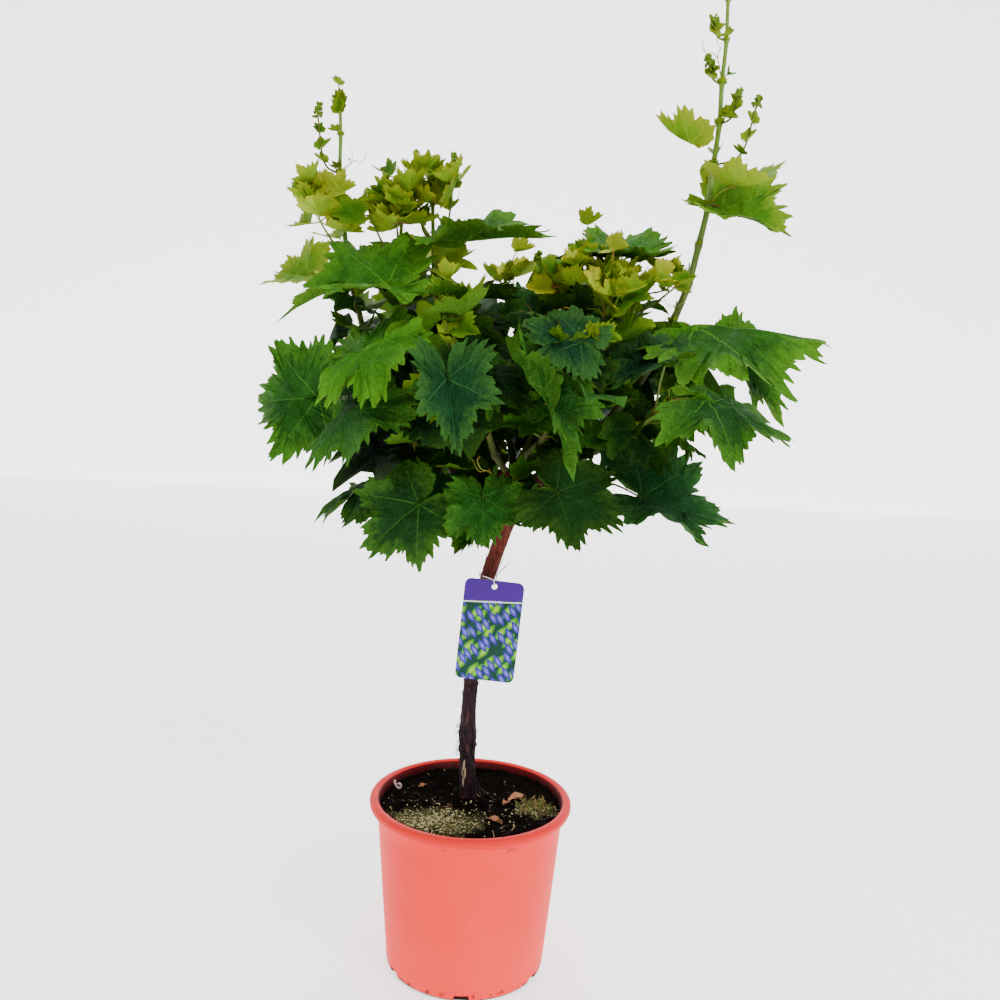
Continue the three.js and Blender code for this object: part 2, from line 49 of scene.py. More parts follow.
# ---------------------------------------------------------------- pot
# A round nursery pot, pressed from soft coral plastic: a wall that tapers to a rounded foot, a
# lip rolled outward, and drain slots through the foot's edge. Handling has left fine scuffs.
class Reading:
    """A number, place or colour that a finish works out at each point, with the usual sums."""

    def __init__(self, finish, socket):
        self.finish, self.socket = finish, socket

    def sum(self, operation, *terms):
        feeds = dict(enumerate((self, *terms)))
        return self.finish.add("ShaderNodeMath", 0, feeds, operation=operation)

    def __add__(self, term):
        return self.sum("ADD", term)

    def __sub__(self, term):
        return self.sum("SUBTRACT", term)

    def __mul__(self, term):
        return self.sum("MULTIPLY", term)

    def rest(self):
        """What this leaves of one."""
        return self.finish.add("ShaderNodeMath", 0, {0: 1.0, 1: self}, operation="SUBTRACT")

    def step(self, low, high):
        """Nothing under the low number, all of it over the high one, and smooth between."""
        feeds = {"From Min": low, "From Max": high, "Value": self}
        return self.finish.add(
            "ShaderNodeMapRange", "Result", feeds, interpolation_type="SMOOTHSTEP"
        )

    def axes(self):
        """A place as its three numbers."""
        return [self.finish.add("ShaderNodeSeparateXYZ", axis, {"Vector": self}) for axis in "XYZ"]


def linear(paint):
    """A colour off a 0 to 255 paint card as linear light; a reading stays as it is."""
    if isinstance(paint, Reading):
        return paint
    tints = [tint / 255 for tint in paint]
    return (*(c / 12.92 if c <= 0.04045 else ((c + 0.055) / 1.055) ** 2.4 for c in tints), 1)


class Finish:
    """A material that is laid on in coats, each over a share of what lies under it."""

    def __init__(self, name, plain, roughness, shine=0.5):
        self.material = bpy.data.materials.new(name)
        self.material.use_nodes = True
        self.tree = self.material.node_tree
        self.shader = self.tree.nodes["Principled BSDF"]
        self.color = plain
        self.shader.inputs["Base Color"].default_value = linear(plain)
        self.shader.inputs["Roughness"].default_value = roughness
        self.shader.inputs["Specular IOR Level"].default_value = shine

    def add(self, kind, result, feeds, **settings):
        """One result of a new node, fed with plain values and other readings."""
        node = self.tree.nodes.new(kind)
        for key, value in settings.items():
            setattr(node, key, value)
        for key, feed in feeds.items():
            if isinstance(feed, Reading):
                self.tree.links.new(feed.socket, node.inputs[key])
            else:
                node.inputs[key].default_value = feed
        return Reading(self, node.outputs[result])

    def on_piece(self, stretch=(1, 1, 1)):
        """Where a point is on the piece, stretched along each axis."""
        spot = self.add("ShaderNodeTexCoord", "Object", {})
        return self.add("ShaderNodeMapping", 0, {"Scale": stretch, "Vector": spot})

    def mottle(self, scale, detail=3.0, roughness=0.55, stretch=(1, 1, 1), on=None):
        """Cloudy uneven noise, as a number about one half."""
        feeds = {"Scale": scale, "Detail": detail, "Roughness": roughness,
                 "Vector": on or self.on_piece(stretch)}
        return self.add("ShaderNodeTexNoise", "Fac", feeds)

    def blend(self, share, under, over):
        """One paint over another by a share."""
        feeds = {0: share, 6: linear(under), 7: linear(over)}
        return self.add("ShaderNodeMix", 2, feeds, data_type="RGBA")

    def coat(self, share, paint, most=None):
        """Another paint over the colour so far, by a share that may be thinned."""
        share = share if most is None else share * most
        self.color = self.blend(share, self.color, paint)

    def close(self, relief, depth=0.001, strength=1.0, roughness=None):
        """Gives the colour, the relief and a roughness that varies to the material's shader."""
        feeds = {"Distance": depth, "Strength": strength, "Height": relief}
        ends = {"Base Color": self.color, "Roughness": roughness,
                "Normal": self.add("ShaderNodeBump", 0, feeds)}
        for key, reading in ends.items():
            if reading is not None:
                self.tree.links.new(reading.socket, self.shader.inputs[key])
        return self


def coral_plastic():
    made = Finish("coral_plastic", (248, 50, 42), 0.55, 0.12)
    x, y, height = made.on_piece().axes()
    broad = made.mottle(9, 2)
    streaks = made.mottle(160, 3, stretch=(1, 1, 0.06))
    scuff = made.mottle(170, 5, 0.7, (1, 1, 5)).step(0.66, 0.74)
    dent_shade = made.mottle(34, 4, 0.6, (1, 1, 2.2)).step(0.62, 0.7)
    splash = made.mottle(150, 5, 0.75)
    inside = (x * x + y * y).sum("SQRT").sum("LESS_THAN", height * 0.0801 + 0.0741)
    made.color = made.blend(broad.step(0.3, 0.7), (246, 40, 34), (252, 58, 50))
    made.coat(streaks, (222, 24, 22), 0.25)
    made.coat(height.step(0.1555, 0.1565), (214, 18, 20), 0.75)
    made.coat(scuff, (255, 112, 98), 0.3)
    # Patches high on the wall and over the lip are painted darker: painted shade of shallow dents
    # that the shape does not have.
    made.coat(dent_shade * height.step(0.11, 0.145), (160, 26, 28), 0.4)
    low = height.step(0.001, 0.02).rest()
    made.coat((splash + low * 0.2).step(0.7, 0.76), (44, 26, 20), 0.85)
    # The whole inner wall is painted dark plum red: mostly painted shade inside the pot, with some
    # dirt.
    made.coat(inside, (74, 8, 16), 0.95)
    smear = splash * 0.022 + 0.150 - height
    made.coat(inside * smear.step(0.0, 0.004), (34, 20, 17), 0.9)
    return made.close(streaks * 0.5 + scuff, 0.00025, 0.5, broad * 0.14 + 0.46 + scuff * 0.2)


POT_NECK, POT_FOOT, POT_WALL, POT_SIDES = 0.0875, 0.075, 0.0022, 128
POT_PROFILE = (  # radius and height, from the underside up the outside and down the inside
    (0.070, 0.0), (0.0722, 0.0005), (0.0738, 0.0018), (0.0747, 0.0035), (0.0753, 0.0058),
    (0.0790, 0.050), (0.0830, 0.100), (0.0862, 0.140), (0.0874, 0.1545), (0.0882, 0.1557),
    (0.0915, 0.1560), (0.0938, 0.1566), (0.0948, 0.1585), (0.0950, 0.1605), (0.0948, 0.1628),
    (0.0938, 0.1643), (0.0920, 0.1650), (0.0898, 0.1649), (0.0876, 0.1642), (0.0860, 0.1622),
    (0.0852, 0.156), (0.0808, 0.100), (0.0752, 0.030), (0.0731, 0.006), (0.0705, 0.003),
)
bpy.ops.mesh.primitive_circle_add(
    vertices=POT_SIDES, radius=POT_PROFILE[0][0], fill_type="NGON"
)
pot = bpy.context.object
pot.name = "nursery_pot"
bpy.ops.object.mode_set(mode="EDIT")
bpy.ops.mesh.select_all(action="SELECT")
for (wide, low), (next_wide, next_low) in zip(POT_PROFILE, POT_PROFILE[1:]):
    bpy.ops.mesh.extrude_region_move(TRANSFORM_OT_translate={"value": (0, 0, next_low - low)})
    ratio = next_wide / wide
    bpy.ops.transform.resize(value=(ratio, ratio, 1), center_override=(0, 0, 0))
bpy.ops.mesh.select_all(action="SELECT")
bpy.ops.mesh.normals_make_consistent(inside=False)
bpy.ops.object.mode_set(mode="OBJECT")


def cut_away(piece, cutter):
    """Takes the cutter's shape out of the piece."""
    bpy.context.view_layer.objects.active = piece
    cut = piece.modifiers.new("cut", "BOOLEAN")
    cut.object, cut.operation = cutter, "DIFFERENCE"
    bpy.ops.object.modifier_apply(modifier=cut.name)
    bpy.data.objects.remove(cutter)


DRAIN_COUNT, DRAIN_TURN, DRAIN_SIZE = 6, -90, (0.010, 0.014, 0.008)
DRAIN_HEIGHT, DRAIN_ROUND = 0.003, 0.0015
for n in range(DRAIN_COUNT):
    turn = math.radians(DRAIN_TURN + n * 360 / DRAIN_COUNT)
    spot = (POT_FOOT * math.cos(turn), POT_FOOT * math.sin(turn), DRAIN_HEIGHT)
    bpy.ops.object.select_all(action="DESELECT")
    bpy.ops.mesh.primitive_cube_add(size=1, location=spot, rotation=(0, 0, turn), scale=DRAIN_SIZE)
    slot_cutter = bpy.context.object
    bpy.ops.object.mode_set(mode="EDIT")
    bpy.ops.mesh.select_all(action="SELECT")
    bpy.ops.mesh.bevel(offset=DRAIN_ROUND, segments=3, affect="EDGES")
    bpy.ops.object.mode_set(mode="OBJECT")
    cut_away(pot, slot_cutter)


def smooth(piece, degrees=35):
    """Smooth shading, with sharp edges where faces turn by more than the angle."""
    bpy.ops.object.select_all(action="DESELECT")
    piece.select_set(True)
    bpy.context.view_layer.objects.active = piece
    bpy.ops.object.shade_smooth_by_angle(angle=math.radians(degrees))
    piece.select_set(False)


smooth(pot)
pot.data.materials.append(coral_plastic().material)
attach(pot, "root")
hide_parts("pot")

# ---------------------------------------------------------------- soil
# Dark potting mix, heaped a little round the trunk and against the back wall: loose crumbs with
# pale crusts at the front left and the right. It fills the pot, and its edge meets the wall.
MM = 0.001
TRUNK_FOOT = (-3.0, 15.0)
SOIL_LEVEL, SOIL_HEAP, HEAP_WIDE = 154.6, 3.2, 24
SOIL_RINGS, SOIL_SIDES = 60, 180
SOIL_FLOOR, SOIL_FLOOR_RIM, NECK_HEIGHT = 20.0, 74, 156
CRUSTS = (  # middle and width of each pale patch
    ((-0.044, -0.034, 0.155), 0.036), ((-0.012, -0.038, 0.155), 0.03),
    ((0.060, -0.002, 0.156), 0.02),
)
pot_slope = (POT_NECK - POT_FOOT) * SOIL_LEVEL / NECK_HEIGHT
soil_rim = 1000 * (POT_FOOT + pot_slope - POT_WALL) - 0.3


def soil_height(x, y):
    share = min(math.hypot(x, y) / soil_rim, 1.0)
    crumbs = noise.fractal(Vector((x, y, 3)) * 0.16, 0.9, 2.1, 5)
    lumps = noise.noise(Vector((x, y, 9)) * 0.05)
    mound = SOIL_HEAP * math.exp(-((math.dist((x, y), TRUNK_FOOT) / HEAP_WIDE) ** 2))
    heap = SOIL_HEAP * (0.35 + 0.65 * y / soil_rim) * share**3
    return SOIL_LEVEL + mound + heap + crumbs * 2.4 + lumps * 2.0


def potting_mix():
    made = Finish("potting_mix", (8, 6, 5), 1.0, 0.03)
    crumbs, clods, grains = made.mottle(420, 6, 0.75), made.mottle(70), made.mottle(1300, 2)
    made.color = made.blend(crumbs.step(0.35, 0.7), (2, 1, 1), (24, 17, 12))
    made.coat(clods.step(0.5, 0.75), (5, 4, 3), 0.6)
    for middle, wide in CRUSTS:
        feeds = {0: made.on_piece(), 1: middle}
        away = made.add("ShaderNodeVectorMath", "Value", feeds, operation="DISTANCE")
        crust = (away + clods * 0.05 - 0.025).step(wide * 0.5, wide).rest()
        made.coat(crust, (40, 42, 20), 0.5)
        made.coat(crust * grains.step(0.54, 0.6), (150, 138, 96), 0.85)
    return made.close(crumbs, 0.002, 0.9)


def join_parts(name, parts, finishes, replaced, crease=60):
    """One piece from parts of (points in mm, faces, finish of each face, maps of the points)."""
    mesh = bpy.data.meshes.new(name)
    points = np.concatenate([part[0] for part in parts]) * MM
    faces, picks, start = [], [], 0
    for corners, sides, pick, _ in parts:
        faces += [[start + corner for corner in side] for side in sides]
        picks += [pick] * len(sides) if isinstance(pick, int) else list(pick)
        start += len(corners)
    mesh.from_pydata(points.tolist(), [], faces)
    for made in finishes:
        mesh.materials.append(made.material)
    mesh.polygons.foreach_set("material_index", picks)
    corner = np.empty(len(mesh.loops), int)
    mesh.loops.foreach_get("vertex_index", corner)
    for key in parts[0][3]:
        spread_map = np.concatenate([part[3][key] for part in parts])
        layer = mesh.uv_layers.new(name=key)
        layer.data.foreach_set("uv", spread_map[corner].astype(np.float32).ravel())
    mesh.validate()
    mesh.update()
    piece = bpy.data.objects.new(name, mesh)
    bpy.context.scene.collection.objects.link(piece)
    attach(piece, "root")
    if replaced:
        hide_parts(*replaced)
    smooth(piece, crease)


soil_points, soil_faces = [(0.0, 0.0, soil_height(0, 0))], []
for ring in range(1, SOIL_RINGS + 1):
    for n in range(SOIL_SIDES):
        turn = 2 * math.pi * (n + 0.5 * (ring % 2)) / SOIL_SIDES
        reach = soil_rim * ring / SOIL_RINGS
        x, y = reach * math.cos(turn), reach * math.sin(turn)
        soil_points.append((x, y, soil_height(x, y)))
for n in range(SOIL_SIDES):
    turn = 2 * math.pi * n / SOIL_SIDES
    soil_points.append(
        (SOIL_FLOOR_RIM * math.cos(turn), SOIL_FLOOR_RIM * math.sin(turn), SOIL_FLOOR)
    )
soil_points.append((0.0, 0.0, SOIL_FLOOR))
for n in range(SOIL_SIDES):
    after = (n + 1) % SOIL_SIDES
    soil_faces.append((0, 1 + n, 1 + after))
    for ring in range(SOIL_RINGS):
        inner, outer = 1 + ring * SOIL_SIDES, 1 + (ring + 1) * SOIL_SIDES
        soil_faces.append((inner + n, outer + n, outer + after, inner + after))
    last = 1 + SOIL_RINGS * SOIL_SIDES
    soil_faces.append((len(soil_points) - 1, last + after, last + n))
soil_parts = [(np.array(soil_points), soil_faces, 0, {})]
join_parts("potting_soil", soil_parts, [potting_mix()], ["soil"])


# ---------------------------------------------------------------- litter on the soil
# Bits that lie loose on the mix: pale grains in a crust at the front left, straw and twig ends, a
# tuft of moss at the right, a few curled dead leaves and a shred of white root.
def heading(bearing, pitch=0.0):
    """The direction of a compass bearing, anticlockwise from +X, pitched up."""
    turn, up = math.radians(bearing), math.radians(pitch)
    return np.array([math.cos(up) * math.cos(turn), math.cos(up) * math.sin(turn), math.sin(up)])


def upward(height):
    return np.array([0.0, 0.0, height])


def sweep(path, radii, sides, swell=None, pick=0, along=(0.0, 1.0)):
    """A closed tube of rings round a centre line. Its map holds the turn and how far along."""
    path = np.asarray(path, float)
    count = len(path)
    tangent = np.gradient(path, axis=0)
    tangent /= np.linalg.norm(tangent, axis=1)[:, None]
    across = np.cross(tangent[0], (1.0, 0, 0) if abs(tangent[0][2]) > 0.8 else (0, 0, 1.0))
    turns = np.linspace(0, 2 * math.pi, sides, endpoint=False)
    rings = []
    for k in range(count):
        across = across - tangent[k] * across.dot(tangent[k])
        across /= np.linalg.norm(across)
        over = np.cross(tangent[k], across)
        radius = radii[k] * (swell(k, turns) if swell else np.ones(sides))
        ring = np.cos(turns)[:, None] * across + np.sin(turns)[:, None] * over
        rings.append(path[k] + ring * radius[:, None])
    faces = [
        (k * sides + n, k * sides + (n + 1) % sides, (k + 1) * sides + (n + 1) % sides,
         (k + 1) * sides + n)
        for k in range(count - 1)
        for n in range(sides)
    ]
    faces += [tuple(range(sides))[::-1], tuple((count - 1) * sides + n for n in range(sides))]
    length = np.linspace(along[0], along[1], count)
    grain = np.stack([np.tile(turns / (2 * math.pi), count), np.repeat(length, sides)], axis=1)
    return np.concatenate(rings), faces, pick, {"grain": grain}


def on_soil(x, y, lift=0.0):
    return np.array([x, y, soil_height(x, y) + lift])


def is_inside(points):
    return max(math.hypot(point[0], point[1]) for point in points) < soil_rim - 1


LITTER_FINISHES = (  # name, colour, roughness, how much darker where it is worn
    ("straw", (168, 132, 84), 0.8, 0.3), ("dry_twig", (74, 52, 38), 0.85, 0.5),
    ("perlite", (214, 198, 146), 0.9, 0.5), ("dead_leaf", (190, 122, 78), 0.7, 0.5),
    ("algae_grain", (122, 126, 58), 0.9, 0.5), ("moss", (120, 132, 52), 0.9, 0.6),
    ("white_root", (214, 184, 176), 0.8, 0.3),
)
STRAW, TWIG, PERLITE, DEAD_LEAF, ALGAE, MOSS, ROOT = range(7)
HEAPS = (((-34, -36), 16), ((58, -4), 9), ((-14, -8), 36))  # middle and spread of the grains
HEAP_OF = (0,) * 9 + (1, 1, 2)
GRAINS, STRAWS, SPRIGS = 1200, 60, 150
MOSS_AT, MOSS_WIDE = (60, 4), 7.2
litter_draw = np.random.RandomState(8)
litter = []
for n in range(GRAINS):
    middle, wide = HEAPS[HEAP_OF[n % len(HEAP_OF)]]
    x, y = np.array(middle) + litter_draw.normal(0, 1, 2) * wide * (1.3, 0.85)
    size = litter_draw.uniform(0.3, 0.95)
    if is_inside([(x, y)]):
        grain = [on_soil(x, y, size * s) for s in (-0.8, -0.2, 0.5, 0.9)]
        girths = [0.4 * size, size, 0.9 * size, 0.3 * size]
        litter.append(sweep(grain, girths, 5, pick=PERLITE if n % 3 else ALGAE))
for n in range(STRAWS):
    turn, reach = litter_draw.uniform(0, 360), soil_rim * litter_draw.uniform(0.15, 0.95)
    middle, aim = heading(turn)[:2] * reach, litter_draw.uniform(0, 180)
    long, thin = litter_draw.uniform(3, 11), litter_draw.uniform(0.2, 0.45)
    step = heading(aim)[:2] * long / 2
    stem = [on_soil(*(middle + step * s), 0.5) for s in (-1, -0.3, 0.4, 1)]
    stem[2][2] += litter_draw.uniform(0, 0.15) * long
    if is_inside(stem):
        litter.append(sweep(stem, [thin, thin, thin, thin * 0.5], 5, pick=TWIG if n % 4 else STRAW))
for n in range(SPRIGS):
    x, y = np.array(MOSS_AT) + litter_draw.normal(0, 1, 2) * MOSS_WIDE
    lean = litter_draw.normal(0, 2.2, 2)
    sprig = [on_soil(x, y), on_soil(x + lean[0] * 0.4, y + lean[1] * 0.4, 2.2),
             on_soil(x + lean[0], y + lean[1], litter_draw.uniform(3, 5))]
    if is_inside(sprig):
        litter.append(sweep(sprig, [0.35, 0.3, 0.15], 4, pick=MOSS if n % 3 else STRAW))

DEAD_LEAVES = (  # place, aim, length, half width
    (44, 18, 42, 20, 4.5), (34, 6, 60, 9, 3.0), (24, -32, -10, 13, 2.5), (-48, 38, 30, 9, 2.5),
)
DEAD_LEAF_THICK = 0.35
for x, y, aim, long, wide in DEAD_LEAVES:
    along, over = heading(aim)[:2], heading(aim + 90)[:2]
    top = []
    for s in np.linspace(-0.5, 0.5, 6):
        half = wide * (1 - (1.7 * s) ** 2) + 0.5
        for side in (-1, -0.35, 0.35, 1):
            spot = np.array([x, y]) + along * long * s + over * half * side
            top.append(on_soil(*spot, 1.3 + 1.6 * side**2 + 0.8 * math.sin(9 * s + side)))
    under = [point - upward(DEAD_LEAF_THICK) for point in top]
    faces = []
    for a in (k * 4 + m for k in range(5) for m in range(3)):
        faces += [(a, a + 4, a + 5, a + 1), (24 + a, 25 + a, 29 + a, 28 + a)]
    for a, flip in ((k * 4 + m, flip) for k in range(5) for m, flip in ((0, 1), (3, -1))):
        faces.append((a, a + 24, a + 28, a + 4)[::flip])
    for k, flip in ((0, -1), (20, 1)):
        faces += [(k + m, k + m + 24, k + m + 25, k + m + 1)[::flip] for m in range(3)]
    litter.append((np.array(top + under), faces, DEAD_LEAF, {"grain": np.zeros((48, 2))}))
shred = [
    on_soil(-72 + 3.5 * math.sin(1.9 * s), 26 + 2.2 * s, 3.6 + 3.0 * math.cos(2.3 * s))
    for s in np.linspace(0, 3, 10)
]
litter.append(sweep(shred, [0.5, 1.2, 1.3, 1.2, 1.3, 1.1, 1.2, 1.1, 0.9, 0.4], 6, pick=ROOT))
litter_finishes = []
for name, plain, roughness, wear in LITTER_FINISHES:
    made = Finish(name, plain, roughness)
    worn = made.mottle(500)
    made.coat(worn, (0, 0, 0), wear)
    litter_finishes.append(made.close(worn, 0.0004))
join_parts("soil_litter", litter, litter_finishes, [], 50)

# ---------------------------------------------------------------- trunk
# The vine's old wood: a short leaning trunk that flares at the soil, kinks at two old knots and
# ends in a knotted head. Its bark is thin, dark and flaky, in upright strips that lift and curl.
HEAD_AT, HEAD_GIRTH, GROUND = np.array([25.0, 0.0, 463.0]), 13.0, 156.3
TRUNK_GIRTH, TRUNK_TOP, TRUNK_FLARE = 6.6, 6.2, 1.6
TRUNK_SIDES, TRUNK_RINGS, TRUNK_BURIED = 64, 190, 0.02


def trunk_point(t):
    late = min(max((t - 0.55) / 0.4, 0), 1)
    lean = late * late * (3 - 2 * late)
    x = TRUNK_FOOT[0] + (HEAD_AT[0] - TRUNK_FOOT[0]) * lean - 2.5 * math.sin(t * 7)
    y = TRUNK_FOOT[1] + (HEAD_AT[1] - TRUNK_FOOT[1]) * t
    return np.array([x, y, GROUND + (HEAD_AT[2] + HEAD_GIRTH - GROUND) * t])


def trunk_radius(t):
    flare = TRUNK_FLARE * math.exp(-t * 14)
    knots = 1.3 * math.exp(-(((t - 0.2) * 22) ** 2)) + 0.9 * math.exp(-(((t - 0.55) * 20) ** 2))
    knob = (HEAD_GIRTH - TRUNK_TOP) * math.exp(-(((t - 0.95) * 11) ** 2))
    return TRUNK_GIRTH + (TRUNK_TOP - TRUNK_GIRTH) * t + flare + knots + knob


def on_bark(t, turn, lift=0.0):
    """A place on the trunk's bark: how far up, on which side and how far off it."""
    return trunk_point(t) + heading(turn) * (trunk_radius(t) + lift)


def bark_swell(path, radii, deep):
    """Upright strips and flakes in the bark, as a ratio to the limb's radius."""
    def swell(k, turns):
        height = path[k][2] + path[k][0] * 0.6
        ratios = []
        for turn in turns:
            around = Vector((math.cos(turn), math.sin(turn), 0))
            strips = 0.5 - 1.6 * abs(noise.noise(around * 2.6 + Vector((0, 0, height * 0.024))))
            flakes = noise.fractal(around * 3.4 + Vector((0, 0, height * 0.09)), 0.8, 2.2, 3)
            lean = noise.noise(around + Vector((4, 0, height * 0.035)))
            ratios.append(1 + (deep * (strips + 0.55 * flakes) + 0.8 * lean) / radii[k])
        return np.array(ratios)
    return swell


def vine_bark(name, low, high, worn):
    made = Finish(name, low, 0.85, 0.2)
    strips = made.mottle(520, 5, 0.7, (1, 1, 0.09))
    flakes = made.mottle(260, 4, 0.6, (1, 1, 0.4))
    fine = made.mottle(1500, 2, stretch=(1, 1, 0.05))
    height = made.on_piece().axes()[2]
    upper = (height + made.mottle(60, stretch=(1, 1, 0.3)) * 0.06).step(0.35, 0.43)
    made.coat(upper, high)
    made.coat(strips.step(0.5, 0.36), made.blend(upper * 0.6, (6, 3, 5), (26, 9, 8)))
    made.coat(flakes.step(0.52, 0.72), worn, 0.5)
    made.coat(fine.step(0.58, 0.68), worn, 0.35)
    return made.close(strips + flakes * 0.5, 0.0012, 0.9, strips * 0.3 + 0.62)


stops = [n / TRUNK_RINGS * (1 + TRUNK_BURIED) - TRUNK_BURIED for n in range(TRUNK_RINGS + 1)]
path, radii = [trunk_point(t) for t in stops], [trunk_radius(t) for t in stops]
trunk_parts = [sweep(path, radii, TRUNK_SIDES, bark_swell(path, radii, 0.9))]
old_bark = vine_bark("old_bark", (32, 14, 21), (98, 38, 24), (82, 50, 52))
worn_bark = vine_bark("worn_bark", (58, 32, 34), (112, 54, 38), (104, 70, 66))
split_wood = Finish("split_wood", (176, 146, 118), 0.8)
grain = split_wood.mottle(700, 4, 0.6, (1, 1, 0.07))
split_wood.color = split_wood.blend(grain, (198, 172, 144), (112, 80, 62))
split_wood.close(grain)

OLD, SPLIT, WORN = range(3)  # which of the trunk's finishes
FLAKES, SPLITS, CURLS = 170, 12, 14
bark_draw = np.random.RandomState(21)
for n in range(FLAKES):  # loose strips that have lifted at one end
    t, turn = bark_draw.uniform(0.01, 0.88), bark_draw.uniform(0, 360)
    long = bark_draw.uniform(0.02, 0.085) * (1 if n % 3 else -1)
    wide, lift = bark_draw.uniform(0.7, 1.7), bark_draw.uniform(0.0, 1.0) ** 2 * 2.6
    corners = []
    for s in np.linspace(0, 1, 6):
        out, over = heading(turn + 10 * s), heading(turn + 10 * s + 90)
        middle = on_bark(t + long * s, turn + 10 * s, 0.35 + lift * s**3)
        half = over * wide * (1 - 0.75 * s**2) * (0.75 + 0.25 * math.cos(9 * s + turn))
        corners += [middle - half - out * 0.5, middle - half * 0.9 + out * 0.1,
                    middle + half * 0.9 + out * 0.1, middle + half - out * 0.5]
    faces = [(k * 4 + m, k * 4 + (m + 1) % 4, k * 4 + 4 + (m + 1) % 4, k * 4 + 4 + m)
             for k in range(5) for m in range(4)] + [(3, 2, 1, 0), (20, 21, 22, 23)]
    if long < 0:
        faces = [face[::-1] for face in faces]
    grain = {"grain": np.zeros((24, 2))}
    trunk_parts.append((np.array(corners), faces, OLD if n % 5 else WORN, grain))
for n in range(SPLITS):  # a pale split near the foot
    t, turn = 0.035 + 0.006 * n, -128 + 3.5 * (n % 7)
    strip = [on_bark(t + 0.03 * s, turn + 4 * s, 0.25) for s in (0.0, 0.4, 0.8, 1.2)]
    trunk_parts.append(sweep(strip, [0.4, 0.9, 0.7, 0.3], 7, pick=SPLIT if n % 4 else OLD))
KNOTS = (  # how far up the trunk, bearing, size
    (0.155, -170, 3.0), (0.17, 10, 3.0), (0.185, -80, 2.4), (0.21, 175, 2.6), (0.15, -50, 2.4),
    (0.56, -150, 2.0), (0.06, -10, 1.8), (0.93, -120, 3.0), (0.9, -40, 2.6),
)
for t, turn, big in KNOTS:
    bump = [on_bark(t, turn, -1.0) + heading(turn, 10) * s * big for s in (-0.6, 0.0, 0.5, 0.9)]
    trunk_parts.append(sweep(bump, [big * 0.9, big * 1.1, big * 0.8, big * 0.35], 10))
for n in range(CURLS):  # curls of bark at the lower knots
    t, turn = bark_draw.uniform(0.14, 0.23), bark_draw.uniform(150, 225)
    foot, loop = on_bark(t, turn), bark_draw.uniform(1.2, 2.6)
    curl = [foot + heading(turn + 10 * s) * (loop * (1.2 - math.cos(1.7 * s)))
            + upward(loop * math.sin(1.7 * s)) for s in np.linspace(0, 3.2, 9)]
    trunk_parts.append(sweep(curl, np.linspace(0.3, 0.16, 9), 5))
for turn, long in ((-35, 15), (-60, 11), (10, 12)):  # surface roots
    strand = [on_bark(0.015, turn, -0.5) + heading(turn) * long * s
              + upward(16 * (1 - s) ** 2 - 1.5) for s in (0.0, 0.25, 0.5, 0.75, 1.0)]
    trunk_parts.append(sweep(strand, [0.7, 0.6, 0.6, 0.5, 0.3], 6))
join_parts("vine_trunk", trunk_parts, [old_bark, split_wood, worn_bark], ["trunk"], 70)

# ---------------------------------------------------------------- arms
# Two short woody arms spread from the head. Each ends in a blunt pruned end, and short spurs with
# pale sawn ends stand where old shoots were cut away.
ARMS = ((178, 65, -4, (8, 6)), (8, 38, 14, (7.5, 6)))  # bearing, reach, rise, girths
SPURS = ((0.25, 70), (0.6, -60), (0.85, 100))  # how far along the arm, turn from its bearing
CUT = 1  # the second of the arms' finishes


def arm_point(arm, t):
    bearing, reach, rise, _ = arm
    return HEAD_AT + heading(bearing) * reach * t + upward(rise * t * t)


cut_wood = Finish("cut_wood", (150, 118, 84), 0.75)
rings = cut_wood.mottle(900)
cut_wood.color = cut_wood.blend(rings, (168, 136, 100), (104, 72, 50))
cut_wood.close(rings)
arm_parts = []
for arm in ARMS:
    bearing, _, _, (thick, thin) = arm
    stops = np.linspace(0, 1, 46)
    path = [arm_point(arm, t) for t in stops]
    girths = [thick + (thin - thick) * t + 0.9 * math.sin(t * 19) * t for t in stops]
    girths[-1] *= 0.6
    path[-1] = path[-2] + (path[-1] - path[-2]) * 0.6
    arm_parts.append(sweep(path, girths, 40, bark_swell(path, girths, 0.8)))
    for t, turn in SPURS:
        foot, out = arm_point(arm, t), heading(bearing + turn, 25) * (thin + 3.2)
        arm_parts.append(sweep([foot, foot + out * 0.7, foot + out], [3.0, 2.7, 2.2], 12))
        arm_parts.append(sweep([foot + out, foot + out * 1.02], [2.0, 1.9], 12, pick=CUT))
join_parts("vine_arms", arm_parts, [old_bark, cut_wood], ["arm_left", "arm_right"], 70)

